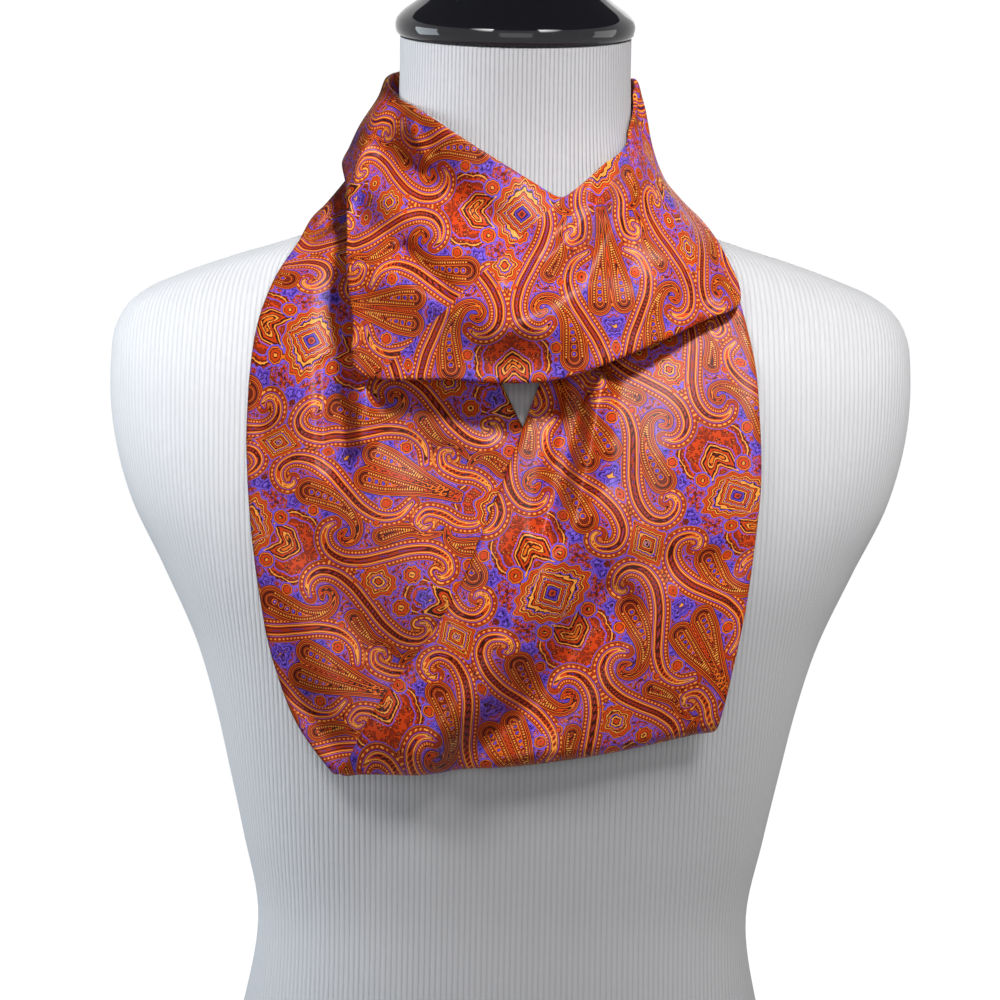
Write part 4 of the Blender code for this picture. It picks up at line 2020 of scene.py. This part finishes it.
    def stretches(self) -> tuple[list, dict[str, Stretch]]:
        """Lays out the loop.

        Returns:
            The loop's sections in space, and its five stretches by name.
        """
        right = [self.front_points(section) for section in reversed(self.right_drop)]
        high = [self.back_points(section) for section in self.back_high]
        wrap = [self.front_points(section) for section in self.neck_wrap]
        low = [self.back_points(section) for section in self.back_low]
        left = [self.front_points(section) for section in self.left_drop]
        loop = right + high + wrap + low + left
        right_top = len(right) - 1
        wrap_left = len(right) + len(high)
        wrap_right = wrap_left + len(wrap) - 1
        left_top = wrap_right + len(low) + 1
        made = [
            Stretch(
                "satin_right_drop",
                "scarf_right_drop",
                0,
                right_top,
                (0.23, 0.35),
                Held.DRAPED,
                self.right_folds,
                PrintSpot(20.9, 337, 0, 0, 117.5),
                hem=0,
            ),
            Stretch(
                "satin_neck_wrap",
                "scarf_neck_wrap",
                wrap_left,
                wrap_right,
                (0.17, 0.36),
                Held.DRAPED,
                self.wrap_folds,
                PrintSpot(-3.6, 488, 0, 68, 95.7),
                Mitre((22.4, 522.6), (-61.5, 438.7), PrintSpot(4.1, 514.8, 0, 0, 176)),
            ),
            Stretch(
                "satin_left_drop",
                "scarf_left_drop",
                left_top,
                len(loop) - 1,
                (0.2, 0.35),
                Held.DRAPED,
                self.left_folds,
                PrintSpot(-95.5, 452.8, 0, 0, -15.8),
                hem=-1,
            ),
            Stretch(
                "satin_back_high",
                "scarf_back_high",
                right_top,
                wrap_left,
                (0.12, 0.2),
                Held.GATHERED,
            ),
            Stretch(
                "satin_back_low",
                "scarf_back_low",
                wrap_right,
                left_top,
                (0.15, 0.255),
                Held.GATHERED,
            ),
        ]
        return loop, {each.name: each for each in made}

    def dress(self, finish: SatinFinish) -> list[bpy.types.Object]:
        """Makes the five stretches and dresses them in the printed satin.

        Args:
            finish: The satin.

        Returns:
            The five pieces.
        """
        loop, made = self.stretches()
        for stretch in made.values():
            stretch.points = self.grid(stretch, loop)
            flat = self.rolled_out(stretch.smooth) if stretch.mitre else self.laid_flat(stretch.smooth)
            stretch.laid = self.print_from(flat, stretch.smooth, stretch.spot) if stretch.spot else flat
            if stretch.mitre:
                stretch.beyond = self.print_from(flat, stretch.smooth, stretch.mitre.beyond)
        wrap = made["satin_neck_wrap"]
        high, low = made["satin_back_high"], made["satin_back_low"]
        high.laid = carried_on(high.laid, -1, wrap.beyond[0])
        low.laid = carried_on(low.laid, 0, wrap.laid[-1])
        material = finish.material()
        pieces = []
        for stretch in made.values():
            piece = finished(stretch.name, self.printed_mesh(stretch, finish.repeat), material)
            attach(piece, "root")
            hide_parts(stretch.node)
            log.info("%s: %d faces", piece.name, len(piece.data.polygons))
            pieces.append(piece)
        return pieces


def turned(places: np.ndarray, angle: float) -> np.ndarray:
    """Flat places, turned about the origin.

    Args:
        places: The places.
        angle: The turn, in radians.

    Returns:
        The turned places.
    """
    return places @ np.array([[cos(angle), sin(angle)], [-sin(angle), cos(angle)]])


def carried_on(flat: np.ndarray, row: int, known: np.ndarray) -> np.ndarray:
    """Slides and turns a stretch's flat places until one row lies on its neighbour's.

    Args:
        flat: The stretch, laid flat.
        row: The row at the seam with the neighbour.
        known: The print's places along the neighbour's row at the same seam.

    Returns:
        The print's place at each point.
    """
    ours, theirs = flat[row, -1] - flat[row, 0], known[-1] - known[0]
    angle = atan2(theirs[1], theirs[0]) - atan2(ours[1], ours[0])
    return turned(flat - flat[row, 0], angle) + known[0]


@dataclass
class Studio:
    """The white paper sweep, the soft lights and the camera."""

    floor_rings: tuple = (0, 0.6, 1.5)
    sweep_radius: float = 4.0
    wall_height: float = 3.2
    bend: float = 0.8
    bend_steps: int = 10
    spin_steps: int = 72
    weld: float = 0.0001
    distance: float = 2.0
    aim: tuple[float, float, float] = (-0.00425, 0.0, 0.3735)
    elevation: float = radians(3)
    roll: float = radians(-0.9)
    frame_height: float = 0.5
    sensor: float = 36.0
    room_tint: Colour = (0.95, 0.97, 1)
    room_light: float = 0.06
    form_lamps: tuple = (
        Lamp("form_left", (-0.4, -0.6, 0.95), (-0.15, -0.05, 0.48), 0.3, 0.37, spread=radians(38)),
        Lamp("form_right", (0.4, -0.6, 0.95), (0.15, -0.05, 0.48), 0.3, 0.37, spread=radians(38)),
        Lamp("form_fill", (0, -2.2, 0.5), CHEST, 1.2, 8),
        Lamp("left_side", (-1.7, 0.1, 0.6), CHEST, 0.9, 19, (0.82, 0.92, 1)),
        Lamp("right_side", (1.7, 0.1, 0.6), CHEST, 0.9, 7, (1, 0.97, 0.95)),
    )
    cloth_lamps: tuple = (
        Lamp("cloth_key", (0.58, -1.05, 1.95), CHEST, 0.3, 46),
        Lamp("cloth_fill", (-0.4, -2.2, 0.4), CHEST, 0.9, 15),
    )
    rear_lamps: tuple = (Lamp("rear", (0.4, 2.3, 1.1), CHEST, 1.2, 5),)
    paper_lamps: tuple = (Lamp("room", (0, -0.4, 2.4), (0, 0, 0), 1.5, 14),)

    def build_sweep(self, paper: PaperFinish) -> bpy.types.Object:
        """The paper: a round floor that bends up into a wall all round.

        Args:
            paper: The paper's finish.

        Returns:
            The sweep.
        """
        inner = self.sweep_radius - self.bend
        angles = np.linspace(0, pi / 2, self.bend_steps + 1)
        profile = [(ring, 0, 0) for ring in self.floor_rings]
        profile += [(inner + self.bend * sin(a), 0, self.bend * (1 - cos(a))) for a in angles]
        profile.append((self.sweep_radius, 0, self.wall_height))
        mesh = bpy.data.meshes.new("paper_profile")
        mesh.from_pydata(profile, [(k, k + 1) for k in range(len(profile) - 1)], [])
        sheet = bpy.data.objects.new("paper_profile", mesh)
        bpy.context.scene.collection.objects.link(sheet)
        deselected()
        bpy.context.view_layer.objects.active = sheet
        sheet.select_set(True)
        bpy.ops.object.mode_set(mode="EDIT")
        bpy.ops.mesh.select_all(action="SELECT")
        bpy.ops.mesh.spin(steps=self.spin_steps, angle=2 * pi, center=(0, 0, 0), axis=(0, 0, 1))
        bpy.ops.mesh.select_all(action="SELECT")
        bpy.ops.mesh.remove_doubles(threshold=self.weld)
        bpy.ops.mesh.normals_make_consistent(inside=True)
        deselected()
        bpy.data.objects.remove(sheet)
        floor = finished("paper_sweep", mesh, paper.material())
        return floor

    def hang(self, lamp: Lamp, pieces: Sequence[bpy.types.Object]) -> None:
        """Hangs a softbox, and keeps its shine on some pieces alone, as screens round it would.

        Args:
            lamp: The softbox.
            pieces: The pieces that it lights.
        """
        data = bpy.data.lights.new(lamp.name, "AREA")
        data.shape = "SQUARE"
        data.size = lamp.side
        data.energy = lamp.power
        data.color = lamp.tint
        data.spread = lamp.spread
        light = bpy.data.objects.new(lamp.name, data)
        bpy.context.scene.collection.objects.link(light)
        light.location = lamp.place
        light.rotation_mode = "QUATERNION"
        light.rotation_quaternion = (Vector(lamp.at) - Vector(lamp.place)).to_track_quat("-Z", "Y")
        self.only_on(light, pieces)

    def only_on(self, light: bpy.types.Object, pieces: Sequence[bpy.types.Object]) -> None:
        """Keeps the shine of a light or a glowing piece on some pieces alone.

        Args:
            light: The light or the glowing piece.
            pieces: The pieces that it lights.
        """
        reached = bpy.data.collections.new(light.name + "_reach")
        for piece in pieces:
            reached.objects.link(piece)
        light.light_linking.receiver_collection = reached

    def light_up(
        self,
        form: Sequence[bpy.types.Object],
        scarf: Sequence[bpy.types.Object],
        paper: bpy.types.Object,
    ) -> None:
        """Hangs the softboxes and sets the room's own light.

        Args:
            form: The body and the cap of the dress form.
            scarf: The pieces of the scarf.
            paper: The sweep of paper.
        """
        groups = (
            (self.form_lamps, form),
            (self.cloth_lamps, scarf),
            (self.rear_lamps, [*form, *scarf]),
            (self.paper_lamps, [paper]),
        )
        for lamps, pieces in groups:
            for lamp in lamps:
                self.hang(lamp, pieces)
        # the paper's painted glow lights the cap alone and shows in its gloss
        self.only_on(paper, form[1:])
        world = bpy.data.worlds.new("studio")
        world.use_nodes = True
        background = world.node_tree.nodes["Background"]
        background.inputs["Color"].default_value = (*self.room_tint, 1)
        background.inputs["Strength"].default_value = self.room_light
        bpy.context.scene.world = world
        bpy.context.scene.view_settings.view_transform = "Standard"

    def place_camera(self) -> bpy.types.Object:
        """Stands the camera at the photograph's angle, and makes it the scene's own.

        Returns:
            The camera.
        """
        data = bpy.data.cameras.new("camera")
        data.sensor_width = self.sensor
        data.lens = self.sensor * self.distance / self.frame_height
        camera = bpy.data.objects.new("camera", data)
        bpy.context.scene.collection.objects.link(camera)
        forward = Vector((0, cos(self.elevation), -sin(self.elevation)))
        camera.location = Vector(self.aim) - self.distance * forward
        camera.rotation_mode = "QUATERNION"
        camera.rotation_quaternion = Quaternion(forward, self.roll) @ forward.to_track_quat("-Z", "Y")
        bpy.context.scene.camera = camera
        return camera


def main() -> None:
    """Builds the form, the scarf and the studio, and notes the size of what shows."""
    logging.basicConfig(level=logging.INFO, format="%(name)s: %(message)s")
    studio = Studio()
    studio.place_camera()
    form = DressForm()
    dressed = form.dress(JerseyFinish(), GlossFinish())
    wound = Scarf(form).dress(SatinFinish(PaisleyRepeat()))
    sweep = studio.build_sweep(PaperFinish())
    studio.light_up(dressed, wound, sweep)


if __name__ == "__main__":
    main()
